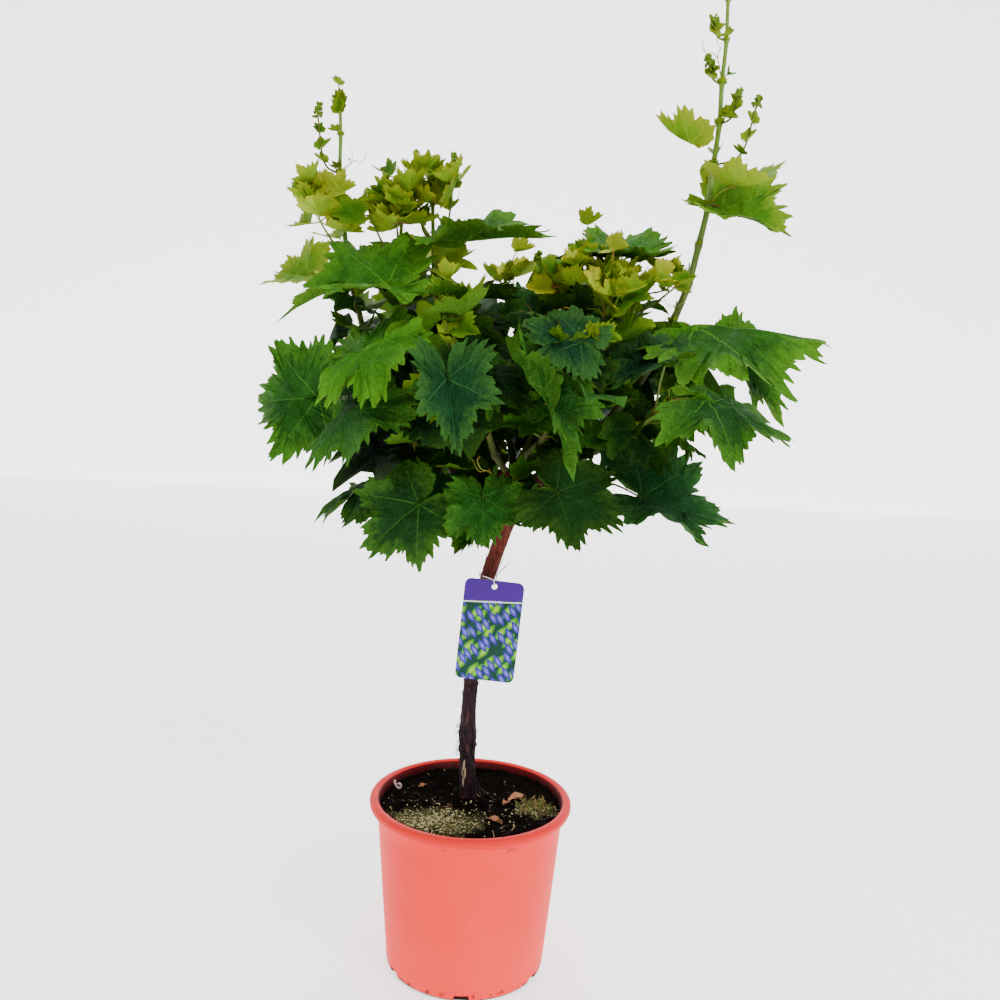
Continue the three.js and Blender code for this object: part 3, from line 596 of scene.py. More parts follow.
# ---------------------------------------------------------------- how the vine grows
# Shoots rise from the head and arms in joints. Each joint bears one stalked leaf, on alternate
# sides, and upper joints bear flower sprays. Nothing grows where something else already is.
SHOOTS = (
    # name, arm, along, bearing, reach, rise, bow, joints, bare, girth, leaf size, seed
    ("right_tall", 1, 1, 2, 130, 446, 4, 13, 2, 4.2, 90, 3),
    ("left_twin", 0, 1, 177, 98, 338, 2.6, 10, 3, 3.8, 60, 5),
    ("left_mid", 0, 0.72, 170, 62, 262, 2.8, 10, 3, 3.4, 66, 7),
    ("middle", 0, 0.3, 178, 60, 274, 2.6, 9, 3, 3.6, 70, 11),
    ("front", -1, 0.5, -118, 118, 158, 1.8, 7, 2, 3.2, 80, 13),
    ("front_right", -1, 0.7, -58, 112, 134, 1.5, 7, 2, 3.2, 75, 17),
    ("upper_mid", -1, 0.9, 24, 60, 204, 2, 9, 1, 3.2, 94, 19),
    ("upper_right", 1, 0.55, -38, 72, 192, 2, 9, 1, 3.2, 92, 23),
    ("right_back", 1, 0.75, 42, 100, 190, 2, 9, 1, 3.2, 98, 29),
    ("right_front", 1, 0.9, -22, 105, 72, 1.3, 6, 2, 3.4, 75, 31),
    ("low_right", -1, -0.4, -28, 64, 12, 1, 5, 2, 3, 90, 37),
    ("low_left", 0, 0.9, 218, 46, 14, 1, 5, 2, 3, 85, 41),
    ("left", 0, 0.85, 203, 62, 92, 1.4, 6, 2, 3.2, 75, 43),
    ("low_front", -1, -0.5, -95, 56, 12, 1, 5, 2, 3, 80, 47),
    ("low_back_left", 0, 0.6, 140, 48, 34, 1, 5, 2, 3, 84, 67),
    ("low_back", -1, -0.1, 105, 54, 36, 1, 5, 2, 3, 84, 71),
    ("low_back_right", -1, -0.4, 28, 60, 26, 1, 5, 2, 3, 84, 73),
    ("back_left", 0, 0.5, 118, 130, 176, 1.8, 9, 1, 3.6, 92, 53),
    ("back", -1, 0.3, 95, 140, 200, 1.8, 9, 1, 3.8, 95, 59),
    ("back_right", -1, 0.1, 60, 150, 150, 1.6, 9, 1, 3.6, 92, 61),
)
OUTER_LEAVES = (
    # shoot, joint, bearing, reach, height, heading, pitch, roll, size
    ("right_tall", 4, 0, 181, 610, -5, 10, 20, 116),
    ("right_tall", 3, 12, 230, 584, -10, -42, -10, 78),
    ("right_tall", 5, 0, 128, 673, 179, 12, 0, 84),
    ("right_tall", 7, 3, 200, 714, -25, -18, -20, 68),
    ("right_tall", 8, 18, 170, 744, -90, -68, 60, 42),
    ("right_tall", 9, 0, 166, 767, 180, 20, -30, 38),
    ("left_mid", 6, -148, 102, 634, -172, 3, -5, 94),
    ("left_mid", 5, -134, 120, 590, -170, -28, -10, 72),
    ("left_mid", 8, 179, 96, 712, -75, -50, 0, 42),
    ("left_twin", 5, 164, 177, 643, 135, 4, 16, 50),
    ("left_twin", 7, 180, 146, 716, -135, -55, 0, 34),
    ("middle", 7, -141, 32, 675, -15, 8, 24, 78),
    ("middle", 5, 132, 40, 623, 40, 25, 0, 65),
    ("middle", 9, -159, 41, 712, -20, 60, 0, 30),
    ("left", 4, -165, 150, 537, 165, -6, 55, 74),
    ("left", 5, -137, 132, 540, -160, -30, -15, 72),
    ("low_left", 3, -132, 80, 451, -162, -38, 30, 62),
    ("low_left", 5, 164, 92, 465, 180, -15, -18, 76),
    ("low_back_left", 4, 146, 106, 518, 176, -25, 50, 52),
    ("low_back", 3, 104, 58, 458, 98, -52, 0, 64),
    ("low_back", 4, 44, 74, 466, 24, -50, 10, 56),
    ("front", 4, -102, 140, 562, -65, -58, 0, 72),
    ("front_right", 5, -56, 132, 594, -178, 20, 10, 50),
    ("front_right", 4, -70, 108, 562, -20, -50, 40, 82),
    ("right_front", 5, -17, 158, 581, 178, -14, -14, 56),
    ("right_front", 4, -31, 207, 553, -22, -12, 5, 74),
    ("low_right", 5, -9, 143, 460, 2, -14, 16, 98),
    ("low_right", 3, -53, 104, 470, -16, -16, -15, 62),
    ("low_front", 3, -89, 74, 462, -85, -55, -10, 48),
    ("low_front", 4, -92, 42, 440, -150, -60, 0, 40),
)
SPRAYS = (
    # shoot, joint, bearing, reach, height, size
    ("right_tall", 8, 0, 221, 802, 5.5),
    ("right_tall", 9, -2, 203, 806, 4.5),
    ("right_tall", 10, 1, 179, 834, 5),
    ("right_tall", 11, 0, 180, 866, 4.5),
    ("left_twin", 8, 180, 156, 778, 6),
    ("left_mid", 9, 176, 96, 724, 5),
    ("middle", 7, -176, 68, 742, 5.5),
    ("middle", 7, -174, 36, 741, 6),
    ("front", 5, -107, 116, 618, 5),
    ("upper_mid", 7, 27, 44, 664, 5.5),
    ("upper_mid", 8, 16, 74, 672, 5),
    ("upper_right", 7, 6, 96, 672, 5.5),
    ("right_back", 8, 13, 176, 659, 5.5),
)
SET_LEAVES = {  # how far the halves are raised from the midrib, further roll, share of the size
    ("right_tall", 4): (-0.75, 0, 1), ("right_tall", 3): (0.1, 0, 1),
    ("right_tall", 5): (0.2, 0, 1), ("right_tall", 7): (0.5, 0, 0.95),
    ("right_tall", 9): (0.6, 0, 1),
    ("left_mid", 6): (0.2, 0, 0.9), ("left_mid", 5): (-0.3, 0, 1), ("middle", 7): (0.05, 0, 1),
    ("middle", 5): (0.2, 0, 1), ("left", 4): (0, 0, 1), ("left", 5): (-0.4, 0, 1),
    ("low_left", 3): (0, 0, 1), ("low_left", 5): (-0.5, 0, 1), ("front", 4): (0.6, 12, 0.8),
    ("front_right", 5): (-0.3, 0, 1), ("front_right", 4): (0.3, 0, 1),
    ("right_front", 5): (0.1, 0, 1), ("right_front", 4): (-0.45, 0, 1),
    ("low_right", 5): (0.1, -20, 0.9), ("low_right", 3): (-0.2, 0, 1),
}
ROUGH_GROWN = (  # degrees from the midrib, length
    (13, 0.76), (28, 0.56), (50, 0.86), (80, 0.5), (108, 0.64), (150, 0.42), (172, 0.12),
)
ROUGH_YOUNG = ((28, 0.58), (52, 0.84), (104, 0.6), (170, 0.14))
LEAF_HEART, LEAF_FOLD, LEAF_BEND, LEAF_CURL, YOUNG_UNDER = 0.3, 0.22, 0.12, 0.06, 48
TWIG_TIP, ZIGZAG, LEAST_LEAF, TURNS_TRIED, STALK_ARCH, SECOND_LEAF = 1.3, 2.5, 20, 24, 0.12, 0.85
SECOND_UP_TO, PATH_STEP, CELL, ROOM_FROM = 0.7, 3, 4, np.array([-320.0, -320.0, 100.0])
draw_state = 1
room = np.zeros((170, 170, 230), np.int16)


def draw(width):
    """The next number of a fixed sequence, from minus the width to plus the width."""
    global draw_state
    draw_state = draw_state * 16807 % 2147483647
    return (2 * (draw_state / 2147483647) - 1) * width


def grow_shoot(row):
    name, arm, along, bearing, reach, rise, bow, joints, bare, girth, size, seed = row
    if arm < 0:
        foot = HEAD_AT + upward(along * HEAD_GIRTH)
    else:
        foot = arm_point(ARMS[arm], along)
    path, radii = [], []
    for k in range(joints + 1):
        t = k / joints
        out = reach * (1 - (1 - t) ** bow)
        aside = 0 if k == 0 else ZIGZAG * (1 if k % 2 == 0 else -1)
        point = foot + heading(bearing) * out + heading(bearing + 90) * aside
        path.append(point + upward(rise * t))
        radii.append(girth + (TWIG_TIP - girth) * t)
    return SimpleNamespace(name=name, bearing=bearing, joints=joints, bare=bare, size=size,
                           seed=seed, path=path, radii=radii, leaves=[], sprays=[])


def cells_of(points):
    return np.floor((np.asarray(points) - ROOM_FROM) / CELL).astype(int)


def keep(points, owner, margin):
    """Takes the free cells round these points for one owner."""
    cells = np.unique(cells_of(points), axis=0)
    beside = range(-margin, margin + 1)
    for shift in [(i, j, k) for i in beside for j in beside for k in beside]:
        i, j, k = (cells + shift).T
        free = room[i, j, k] == 0
        room[i[free], j[free], k[free]] = owner


def is_free(points, owner):
    i, j, k = cells_of(points).T
    held = room[i, j, k]
    return bool(np.all((held == 0) | (held == owner)))


def points_along(path, step=PATH_STEP):
    points = []
    for start, end in zip(path, path[1:]):
        count = math.ceil(math.dist(start, end) / step)
        points += [start * (1 - n / count) + end * (n / count) for n in range(count + 1)]
    return points


def blade_point(blade, turn, length):
    x, y = length * math.cos(math.radians(turn)), length * math.sin(math.radians(turn))
    z = LEAF_FOLD * abs(y) - LEAF_BEND * x * abs(x) - LEAF_CURL * length * length
    size = blade.size
    return blade.at + blade.along * (x * size) + blade.side * (y * size) + blade.face * (z * size)


def whole_outline(half):
    return [(-turn, length) for turn, length in half[::-1]] + [(0, 1.0), *half]


def heart_and_edge(blade, half, step):
    """The middle of a blade, and points close together round its edge."""
    edge = [blade_point(blade, turn, length) for turn, length in whole_outline(half)]
    return blade_point(blade, 0, LEAF_HEART), points_along([*edge, edge[0]], step)


def blade_points(blade):
    half = ROUGH_YOUNG if blade.size < YOUNG_UNDER else ROUGH_GROWN
    heart, edge = heart_and_edge(blade, half, PATH_STEP)
    points = []
    for outer in edge:
        count = math.ceil(math.dist(heart, outer) / PATH_STEP)
        points += [heart * (1 - n / count) + outer * (n / count) for n in range(1, count + 1)]
    return points


def make_blade(at, bearing, heading_to, pitch, roll, size):
    sky = heading(bearing) + np.array([0, -1.4, 3])
    along = heading(heading_to, pitch)
    up = sky - along * sky.dot(along)
    up /= np.linalg.norm(up)
    lean = math.radians(roll)
    face = up * math.cos(lean) + np.cross(up, along) * math.sin(lean)
    side = np.cross(face, along)
    return SimpleNamespace(at=at, along=along, face=face, side=side, size=size)


def add_leaf(shoot, joint, path, blade, kind="outer", pose=None):
    leaf = SimpleNamespace(joint=joint, path=path, blade=blade, kind=kind, pose=pose)
    shoot.leaves.append(leaf)


def place_leaf(shoot, joint, blade, kind="outer", start=None, surface=None, margin=1, pose=None):
    """Adds a leaf to a shoot if its stalk and blade find room, and says whether they did."""
    owner = shoot.owner
    start = shoot.path[joint] if start is None else start
    lift = math.dist(start, blade.at) * STALK_ARCH
    path = [start, (start + blade.at) / 2 + upward(lift), blade.at]
    reach = points_along(path)
    surface = blade_points(blade) if surface is None else surface
    if not is_free(reach, owner) or not is_free(surface, owner):
        return False
    add_leaf(shoot, joint, path, blade, kind, pose)
    keep(surface, owner + 100 + min(len(shoot.leaves), 98), margin)
    keep(reach, owner, margin)
    return True


def rule_leaf(shoot, joint, share=1.0):
    """The leaf of a joint, turned and shrunk until it finds room."""
    t = (joint - shoot.bare) / (shoot.joints - shoot.bare + 0.6)
    grown = shoot.size * share * (1 - t) ** 0.85 * (1 + draw(0.1))
    for turn in range(TURNS_TRIED):
        side = (1 if joint % 2 == 0 else -1) * (1 if turn % 2 == 0 else -1)
        size = max(LEAST_LEAF, grown * (1 - 0.02 * turn))
        bearing = shoot.bearing + side * (62 + draw(45 + turn))
        reach = size * (0.65 + draw(0.3))
        at = shoot.path[joint] + heading(bearing, 28 + 30 * t + draw(30)) * reach
        pitch = -24 + 45 * t + draw(25)
        blade = make_blade(at, bearing, bearing + draw(50), pitch, draw(30), size)
        if place_leaf(shoot, joint, blade):
            return


shoots = [grow_shoot(row) for row in SHOOTS]
shoot_named = {shoot.name: shoot for shoot in shoots}
OWNER_STEP = 200  # numbers for one shoot: its own, its leaves' and its bare cane's
for n, shoot in enumerate(shoots):
    shoot.owner = 1 + OWNER_STEP * n


def keep_arms(margin):
    for arm in ARMS:
        line = points_along([arm_point(arm, t) for t in (0, 0.5, 1)])
        keep(line, OWNER_STEP * (len(shoots) + 1), margin)


keep_arms(2)
for shoot in shoots:
    keep(points_along(shoot.path[: shoot.bare + 1]), shoot.owner + OWNER_STEP - 1, 1)
    keep(points_along(shoot.path[shoot.bare :]), shoot.owner, 1)
for name, joint, bearing, reach, height, size in SPRAYS:
    shoot = shoot_named[name]
    at = upward(height) + heading(bearing) * reach
    start = shoot.path[joint]
    bend = start * 0.3 + at * 0.7
    bend[2] = start[2] + (at[2] - start[2]) * 0.2
    path = [start, bend, at]
    around = points_along(path) + points_along([at, at + upward(size)])
    if is_free(around, shoot.owner):
        shoot.sprays.append(SimpleNamespace(path=path, size=size))
        keep(around, shoot.owner, 1)
for name, joint, bearing, reach, height, heading_to, pitch, roll, size in OUTER_LEAVES:
    shoot = shoot_named[name]
    at = upward(height) + heading(bearing) * reach
    blade = make_blade(at, bearing, heading_to, pitch, roll, size)
    place_leaf(shoot, joint, blade, pose=SET_LEAVES.get((name, joint)))
for shoot in shoots:
    draw_state = shoot.seed
    for joint in range(shoot.bare + 1, shoot.joints + 1):
        if all(leaf.joint != joint for leaf in shoot.leaves):
            rule_leaf(shoot, joint)
for shoot in shoots:
    for joint in range(shoot.bare, math.floor(shoot.joints * SECOND_UP_TO) + 1):
        rule_leaf(shoot, joint, SECOND_LEAF)

# The same rule is carried on with narrower gaps: inner leaves on every joint, and then side twigs
# with small leaves. They grow only where leaves stand before or behind them, so that the vine
# keeps its outline and its gaps.
front_cover, side_cover = room.any(axis=1), room.any(axis=0)
room[:] = 0
keep_arms(1)
for shoot in shoots:
    keep(points_along(shoot.path), shoot.owner, 0)
    for n, leaf in enumerate(shoot.leaves):
        keep(blade_points(leaf.blade), shoot.owner + 101 + n, 0)
        keep(points_along(leaf.path), shoot.owner, 0)
    for spray in shoot.sprays:
        keep(points_along(spray.path), shoot.owner, 0)


def unit_cloud(half):
    """Points all over a blade of length one."""
    along, side, face = np.eye(3)
    blade = SimpleNamespace(at=np.zeros(3), along=along, side=side, face=face, size=1.0)
    heart, edge = heart_and_edge(blade, half, 0.05)
    return np.array([heart + (outer - heart) * s
                     for outer in edge for s in (0.15, 0.3, 0.45, 0.6, 0.75, 0.9, 1.0)])


GROWN_CLOUD = unit_cloud(ROUGH_GROWN)


def cloud_of(blade):
    turned = np.stack([blade.along, blade.side, blade.face])
    return blade.at + GROWN_CLOUD @ turned * blade.size


def is_covered(points, least):
    i, j, k = cells_of(points).T
    return front_cover[i, k].mean() > least and side_cover[j, k].mean() > least


FILL_TOP, FILL_TRIES, FILL_LEAST = 655.0, 40, 24.0
FILL_ROUNDS = ((0.95, 0.84), (0.8, 0.86), (0.65, 0.84), (0.5, 0.8))  # share of size, least cover
SIDE_TRIES, SIDE_COVER = 14, 0.84
fill_draw = np.random.RandomState(5)
for share, least in FILL_ROUNDS:
    for shoot in shoots:
        for joint in range(shoot.bare, shoot.joints - 1):
            if shoot.path[joint][2] > FILL_TOP:
                break
            t = (joint - shoot.bare) / (shoot.joints - shoot.bare + 0.6)
            for attempt in range(FILL_TRIES):
                size = shoot.size * share * (1 - t) ** 0.7 * fill_draw.uniform(0.7, 1.05)
                size = max(FILL_LEAST, size)
                bearing = fill_draw.uniform(0, 360)
                reach = size * fill_draw.uniform(0.3, 0.95)
                at = shoot.path[joint] + heading(bearing, fill_draw.uniform(-15, 60)) * reach
                blade = make_blade(at, bearing, bearing + fill_draw.uniform(-60, 60),
                                   fill_draw.uniform(-60, 20), fill_draw.uniform(-40, 40), size)
                surface = cloud_of(blade)
                if is_covered(surface, least) and place_leaf(
                    shoot, joint, blade, "inner", surface=surface, margin=0
                ):
                    break

side_twigs = []
for shoot in shoots:
    for joint in range(shoot.bare, shoot.joints - 1):
        start = shoot.path[joint]
        for attempt in range(SIDE_TRIES if start[2] < FILL_TOP else 0):
            side = 1 if (joint + attempt) % 2 else -1
            bearing = shoot.bearing + side * fill_draw.uniform(30, 150)
            long = fill_draw.uniform(18, 46)
            aim = heading(bearing, fill_draw.uniform(5, 60))
            path = [start, start + aim * long * 0.5 + upward(-long * 0.05), start + aim * long]
            if not is_free(points_along(path), shoot.owner):
                continue
            grown = 0
            for stop in (0.55, 0.8, 1.0):
                for turn in range(8):
                    size = fill_draw.uniform(18, 40)
                    to = bearing + fill_draw.uniform(-90, 90)
                    at = start + aim * long * stop
                    base = at + heading(to, fill_draw.uniform(0, 50)) * size * 0.45
                    blade = make_blade(base, bearing, to, fill_draw.uniform(-45, 25),
                                       fill_draw.uniform(-35, 35), size)
                    surface = cloud_of(blade)
                    if is_covered(surface, SIDE_COVER) and place_leaf(
                        shoot, joint, blade, "side", start=at, surface=surface, margin=0
                    ):
                        grown += 1
                        break
            if grown:
                side_twigs.append((shoot, path))
                keep(points_along(path), shoot.owner, 0)
                break

# Young side shoots end in rosettes of small cupped leaves, while the leaves at the top of the
# two tallest shoots are still small cups and the tallest is bare for a stretch lower down.
GOLDEN_TURN = 137.5
ROSETTES = (
    # shoot, joint, bearing, reach, height, leaves, size
    ("left_mid", 8, -166, 86, 688, 8, 27), ("left_mid", 9, -167, 95, 708, 6, 20),
    ("left_mid", 7, -172, 108, 694, 5, 24), ("middle", 8, -162, 66, 726, 7, 21),
    ("middle", 8, -150, 44, 724, 6, 22), ("middle", 7, -160, 72, 704, 7, 26),
    ("upper_mid", 7, -19, 58, 640, 7, 27), ("upper_mid", 8, -13, 80, 660, 6, 24),
    ("upper_right", 8, -11, 106, 648, 6, 26), ("upper_right", 7, -24, 118, 634, 5, 24),
    ("right_back", 8, -2, 152, 656, 6, 20), ("right_back", 7, -9, 160, 644, 4, 18),
    ("left_twin", 7, -174, 152, 708, 6, 28), ("left_twin", 6, -172, 150, 686, 5, 30),
    ("front", 6, -108, 104, 604, 6, 22), ("front_right", 6, -62, 118, 592, 5, 22),
)
for name, joint, bearing, reach, height, count, size in ROSETTES:
    shoot = shoot_named[name]
    start, middle = shoot.path[joint], heading(bearing) * reach + upward(height)
    side_twigs.append((shoot, [start, (start + middle) / 2 - upward(4.0), middle]))
    for n in range(count):
        turn, rise = GOLDEN_TURN * n + 60 * joint, n / count
        long = size * (1 - 0.4 * rise) * fill_draw.uniform(0.7, 1.2)
        foot = middle + heading(turn, -25 + 105 * rise) * long * fill_draw.uniform(0.3, 0.7)
        blade = make_blade(foot, turn, turn + fill_draw.uniform(-60, 60), -15 + 65 * rise,
                           fill_draw.uniform(-50, 50), long)
        add_leaf(shoot, joint, [middle, (middle + foot) / 2, foot], blade)
# One flat leaf lies over the gap at the right. It is last in its list, so that it is drawn last.
start, at = shoot_named["upper_right"].path[8], heading(3) * 124 + upward(670.0)
path = [start, (start + at) / 2 - upward(3.0), at]
add_leaf(shoots[-1], 8, path, make_blade(at, 3, 178, 2, -10, 74), pose=(0.1, 0, 1))
CUPS = {"right_tall": (8, 0.34), "left_twin": (8, 0.45)}  # from this joint up, share of the size
BARE_STRETCH = (4, 5, 6)  # joints of the tallest shoot
for name, (first, share) in CUPS.items():
    for leaf in shoot_named[name].leaves:
        if leaf.joint >= first and not leaf.pose:
            foot = leaf.path[0]
            leaf.path = [foot + (at - foot) * share for at in leaf.path]
            leaf.blade.at = leaf.path[-1]
            leaf.blade.size *= share
shoot_named["right_tall"].leaves = [
    leaf for leaf in shoot_named["right_tall"].leaves
    if leaf.pose or leaf.joint not in BARE_STRETCH
]

# ---------------------------------------------------------------- canes and green stems
# Each shoot is one jointed stem: brown ripened cane at its foot, then olive and smooth green to
# its tip, with a swelling and a slight turn at every joint.
def curve_through(stops, each=6):
    """A smooth line through stops, with a few points between each two."""
    stops = np.asarray(stops, float)
    ends = np.vstack([2 * stops[0] - stops[1], stops, 2 * stops[-1] - stops[-2]])
    line = []
    for k in range(1, len(ends) - 2):
        a, b, c, d = ends[k - 1 : k + 3]
        for n in range(each):
            t = n / each
            line.append(
                0.5 * (2 * b + (c - a) * t + (2 * a - 5 * b + 4 * c - d) * t**2
                       + (3 * b - a - 3 * c + d) * t**3)
            )
    line.append(stops[-1])
    return np.array(line)


def shoot_skin():
    made = Finish("shoot_skin", (104, 118, 52), 0.5, 0.3)
    grain = made.add("ShaderNodeUVMap", 0, {}, uv_map="grain")
    cloudy, streaks = made.mottle(90), made.mottle(1100, stretch=(1, 1, 0.12))
    ripe = grain.axes()[1] + (cloudy - 0.5) * 0.25
    made.color = made.blend(ripe.step(0.0, 0.14), (78, 50, 30), (78, 92, 34))
    made.coat(ripe.step(0.25, 0.7), (98, 134, 34))
    made.coat(cloudy.step(0.52, 0.68), (112, 66, 40), 0.28)
    made.coat(streaks.step(0.45, 0.7), (66, 58, 32), 0.4)
    return made.close(streaks, 0.0004, 0.6)


STEM_EACH = 8  # points from one joint to the next
SWELLINGS = ((-1, 1.08), (0, 1.3), (1, 1.1))  # points from the joint, ratio of girth
masses = ["foliage_" + shoot.name for shoot in shoots]
stem_parts = []
for shoot in shoots:
    line = curve_through(shoot.path, STEM_EACH)
    along = np.arange(len(line)) / STEM_EACH
    girths = np.interp(along, range(len(shoot.radii)), shoot.radii)
    for joint in range(1, shoot.joints):
        for near, swollen in SWELLINGS:
            girths[joint * STEM_EACH + near] *= swollen
    girths[-1] *= 0.6
    stem_parts.append(sweep(line, girths, 12))
for shoot, path in side_twigs:
    line = curve_through(path, 5)
    stem_parts.append(sweep(line, np.linspace(1.5, 0.8, len(line)), 7, along=(0.5, 1.0)))
join_parts("vine_shoots", stem_parts, [shoot_skin()],
           ["cane_" + shoot.name for shoot in shoots] + masses)


# ---------------------------------------------------------------- leaf stalks and tendrils
# Thin round stalks, pale green blushed with red, rise in a low arch from the joints to the
# blades. Tendrils grow opposite some leaves, fork once and curl at their ends.
def stalk_skin(name, green, red):
    made = Finish(name, green, 0.45, 0.3)
    made.coat(made.mottle(45, 2).step(0.42, 0.62), red)
    return made.close(made.mottle(900, 2, stretch=(1, 1, 0.3)), 0.0003, 0.4)


def tapered(stops, each, thick, thin, sides, pick):
    """A stem through stops that thins evenly to its end."""
    line = curve_through(stops, each)
    return sweep(line, np.linspace(thick, thin, len(line)), sides, pick=pick)


GROWN, YOUNG = range(2)  # which of the stalks' finishes
GROWN_STALK, YOUNG_STALK = 1.25, 0.75
stalk_parts = []
for shoot in shoots:
    for leaf in shoot.leaves:
        young = leaf.blade.size < YOUNG_UNDER
        line = curve_through(leaf.path, 5)
        thick = YOUNG_STALK if young else GROWN_STALK
        girths = np.linspace(thick, thick * 0.75, len(line))
        girths[:2] *= (1.5, 1.15)
        girths[-1] *= 1.15
        stalk_parts.append(sweep(line, girths, 6, pick=YOUNG if young else GROWN))

COIL_TURN, COIL_WIDE, TENDRIL_TRIES, TENDRIL_COVER = 5.5, 3.2, 12, 0.6
tendril_draw = np.random.RandomState(14)
for shoot in shoots:
    for joint in range(shoot.bare + 2, shoot.joints, 3):
        for attempt in range(TENDRIL_TRIES):
            start = shoot.path[joint]
            bearing = shoot.bearing + (1 if joint % 2 else -1) * tendril_draw.uniform(40, 150)
            aim, long = heading(bearing, tendril_draw.uniform(10, 55)), tendril_draw.uniform(22, 40)
            fork = start + aim * long - upward(2.0)
            coils = []
            for lean, far in ((22, 22), (-30, 14)):
                away = heading(bearing + lean, 25)
                over = np.cross(away, (0, 0, 1))
                coils.append([
                    fork + away * far * s + upward(COIL_WIDE * math.sin(COIL_TURN * s) * s)
                    + over * COIL_WIDE * math.cos(COIL_TURN * s) * s
                    for s in (0.0, 0.25, 0.5, 0.75, 1.0, 1.25, 1.5)
                ])
            reach = points_along([start, fork]) + coils[0] + coils[1]
            if is_free(reach, shoot.owner) and is_covered(reach, TENDRIL_COVER):
                stem = [start, start + aim * long * 0.5, fork]
                stalk_parts.append(tapered(stem, 5, 0.7, 0.5, 5, YOUNG))
                stalk_parts += [tapered(coil, 3, 0.5, 0.25, 5, YOUNG) for coil in coils]
                keep(reach, shoot.owner, 0)
                break
stalk_skins = [stalk_skin("stalk_skin", (96, 118, 34), (124, 76, 44)),
               stalk_skin("young_stalk_skin", (128, 146, 40), (150, 104, 48))]
join_parts("leaf_stalks", stalk_parts, stalk_skins, masses)

# ---------------------------------------------------------------- leaves
# Five-lobed vine leaves, thin and a little quilted between pale veins that spread from the stalk,
# with sharp teeth of two sizes and a lit pale margin. Grown ones are deep green, paler and matt
# beneath; young ones near the tips are small, folded and yellow-green with a red edge.
LEAF_THICK, FINE_TOOTH, SIDE_HEART = 0.34, 0.018, 0.22
VEINS = ((0, 29), (50, 29), (108, 45))  # bearing of a main vein, how far its side veins spread
GROWN_HALF = (  # degrees from the midrib, length
    (3, 0.91), (6, 0.96), (9, 0.85), (13, 0.91), (16, 0.79), (20, 0.84), (23.5, 0.72), (27, 0.75),
    (30.5, 0.63), (33.5, 0.71), (36.5, 0.67), (39.5, 0.81), (43, 0.75), (46.5, 0.90), (49.5, 0.85),
    (52, 0.94), (55.5, 0.81), (59.5, 0.87), (63.5, 0.73), (68, 0.78), (72.5, 0.65), (77, 0.68),
    (81.5, 0.56), (86, 0.66), (90, 0.61), (95, 0.73), (99.5, 0.66), (105, 0.77), (110, 0.66),
    (116, 0.73), (122, 0.62), (128.5, 0.67), (135, 0.56), (142, 0.60), (149, 0.48), (156, 0.50),
    (163, 0.36), (169, 0.30), (174, 0.15), (178, 0.06),
)
YOUNG_HALF = (
    (6, 0.88), (11, 0.91), (17, 0.76), (22, 0.79), (28, 0.62), (34, 0.75), (39, 0.73), (45, 0.89),
    (50, 0.82), (55, 0.88), (61, 0.72), (67, 0.75), (76, 0.58), (84, 0.67), (92, 0.62),
    (102, 0.74), (110, 0.64), (119, 0.67), (130, 0.54), (141, 0.54), (154, 0.38), (167, 0.24),
)
INNER_HALF = (
    (9, 0.90), (18, 0.75), (29, 0.62), (37, 0.74), (48, 0.90), (60, 0.74), (79, 0.59), (91, 0.66),
    (105, 0.76), (124, 0.65), (147, 0.48), (169, 0.18),
)
SIDE_HALF = (
    (14, 0.84), (28, 0.63), (40, 0.77), (52, 0.88), (66, 0.70), (82, 0.59), (104, 0.71),
    (138, 0.50), (168, 0.16),
)


def serrate(half):
    """The same outline with one fine tooth more on each flank of its teeth."""
    fine = []
    for (turn, long), (next_turn, next_long) in zip(half, half[1:]):
        fine += [(turn, long)] + [
            (turn + (next_turn - turn) * s, long + (next_long - long) * s + FINE_TOOTH * side)
            for s, side in ((0.36, -1), (0.6, 1))
        ]
    return fine + [half[-1]]


FINE_HALF = serrate(GROWN_HALF)


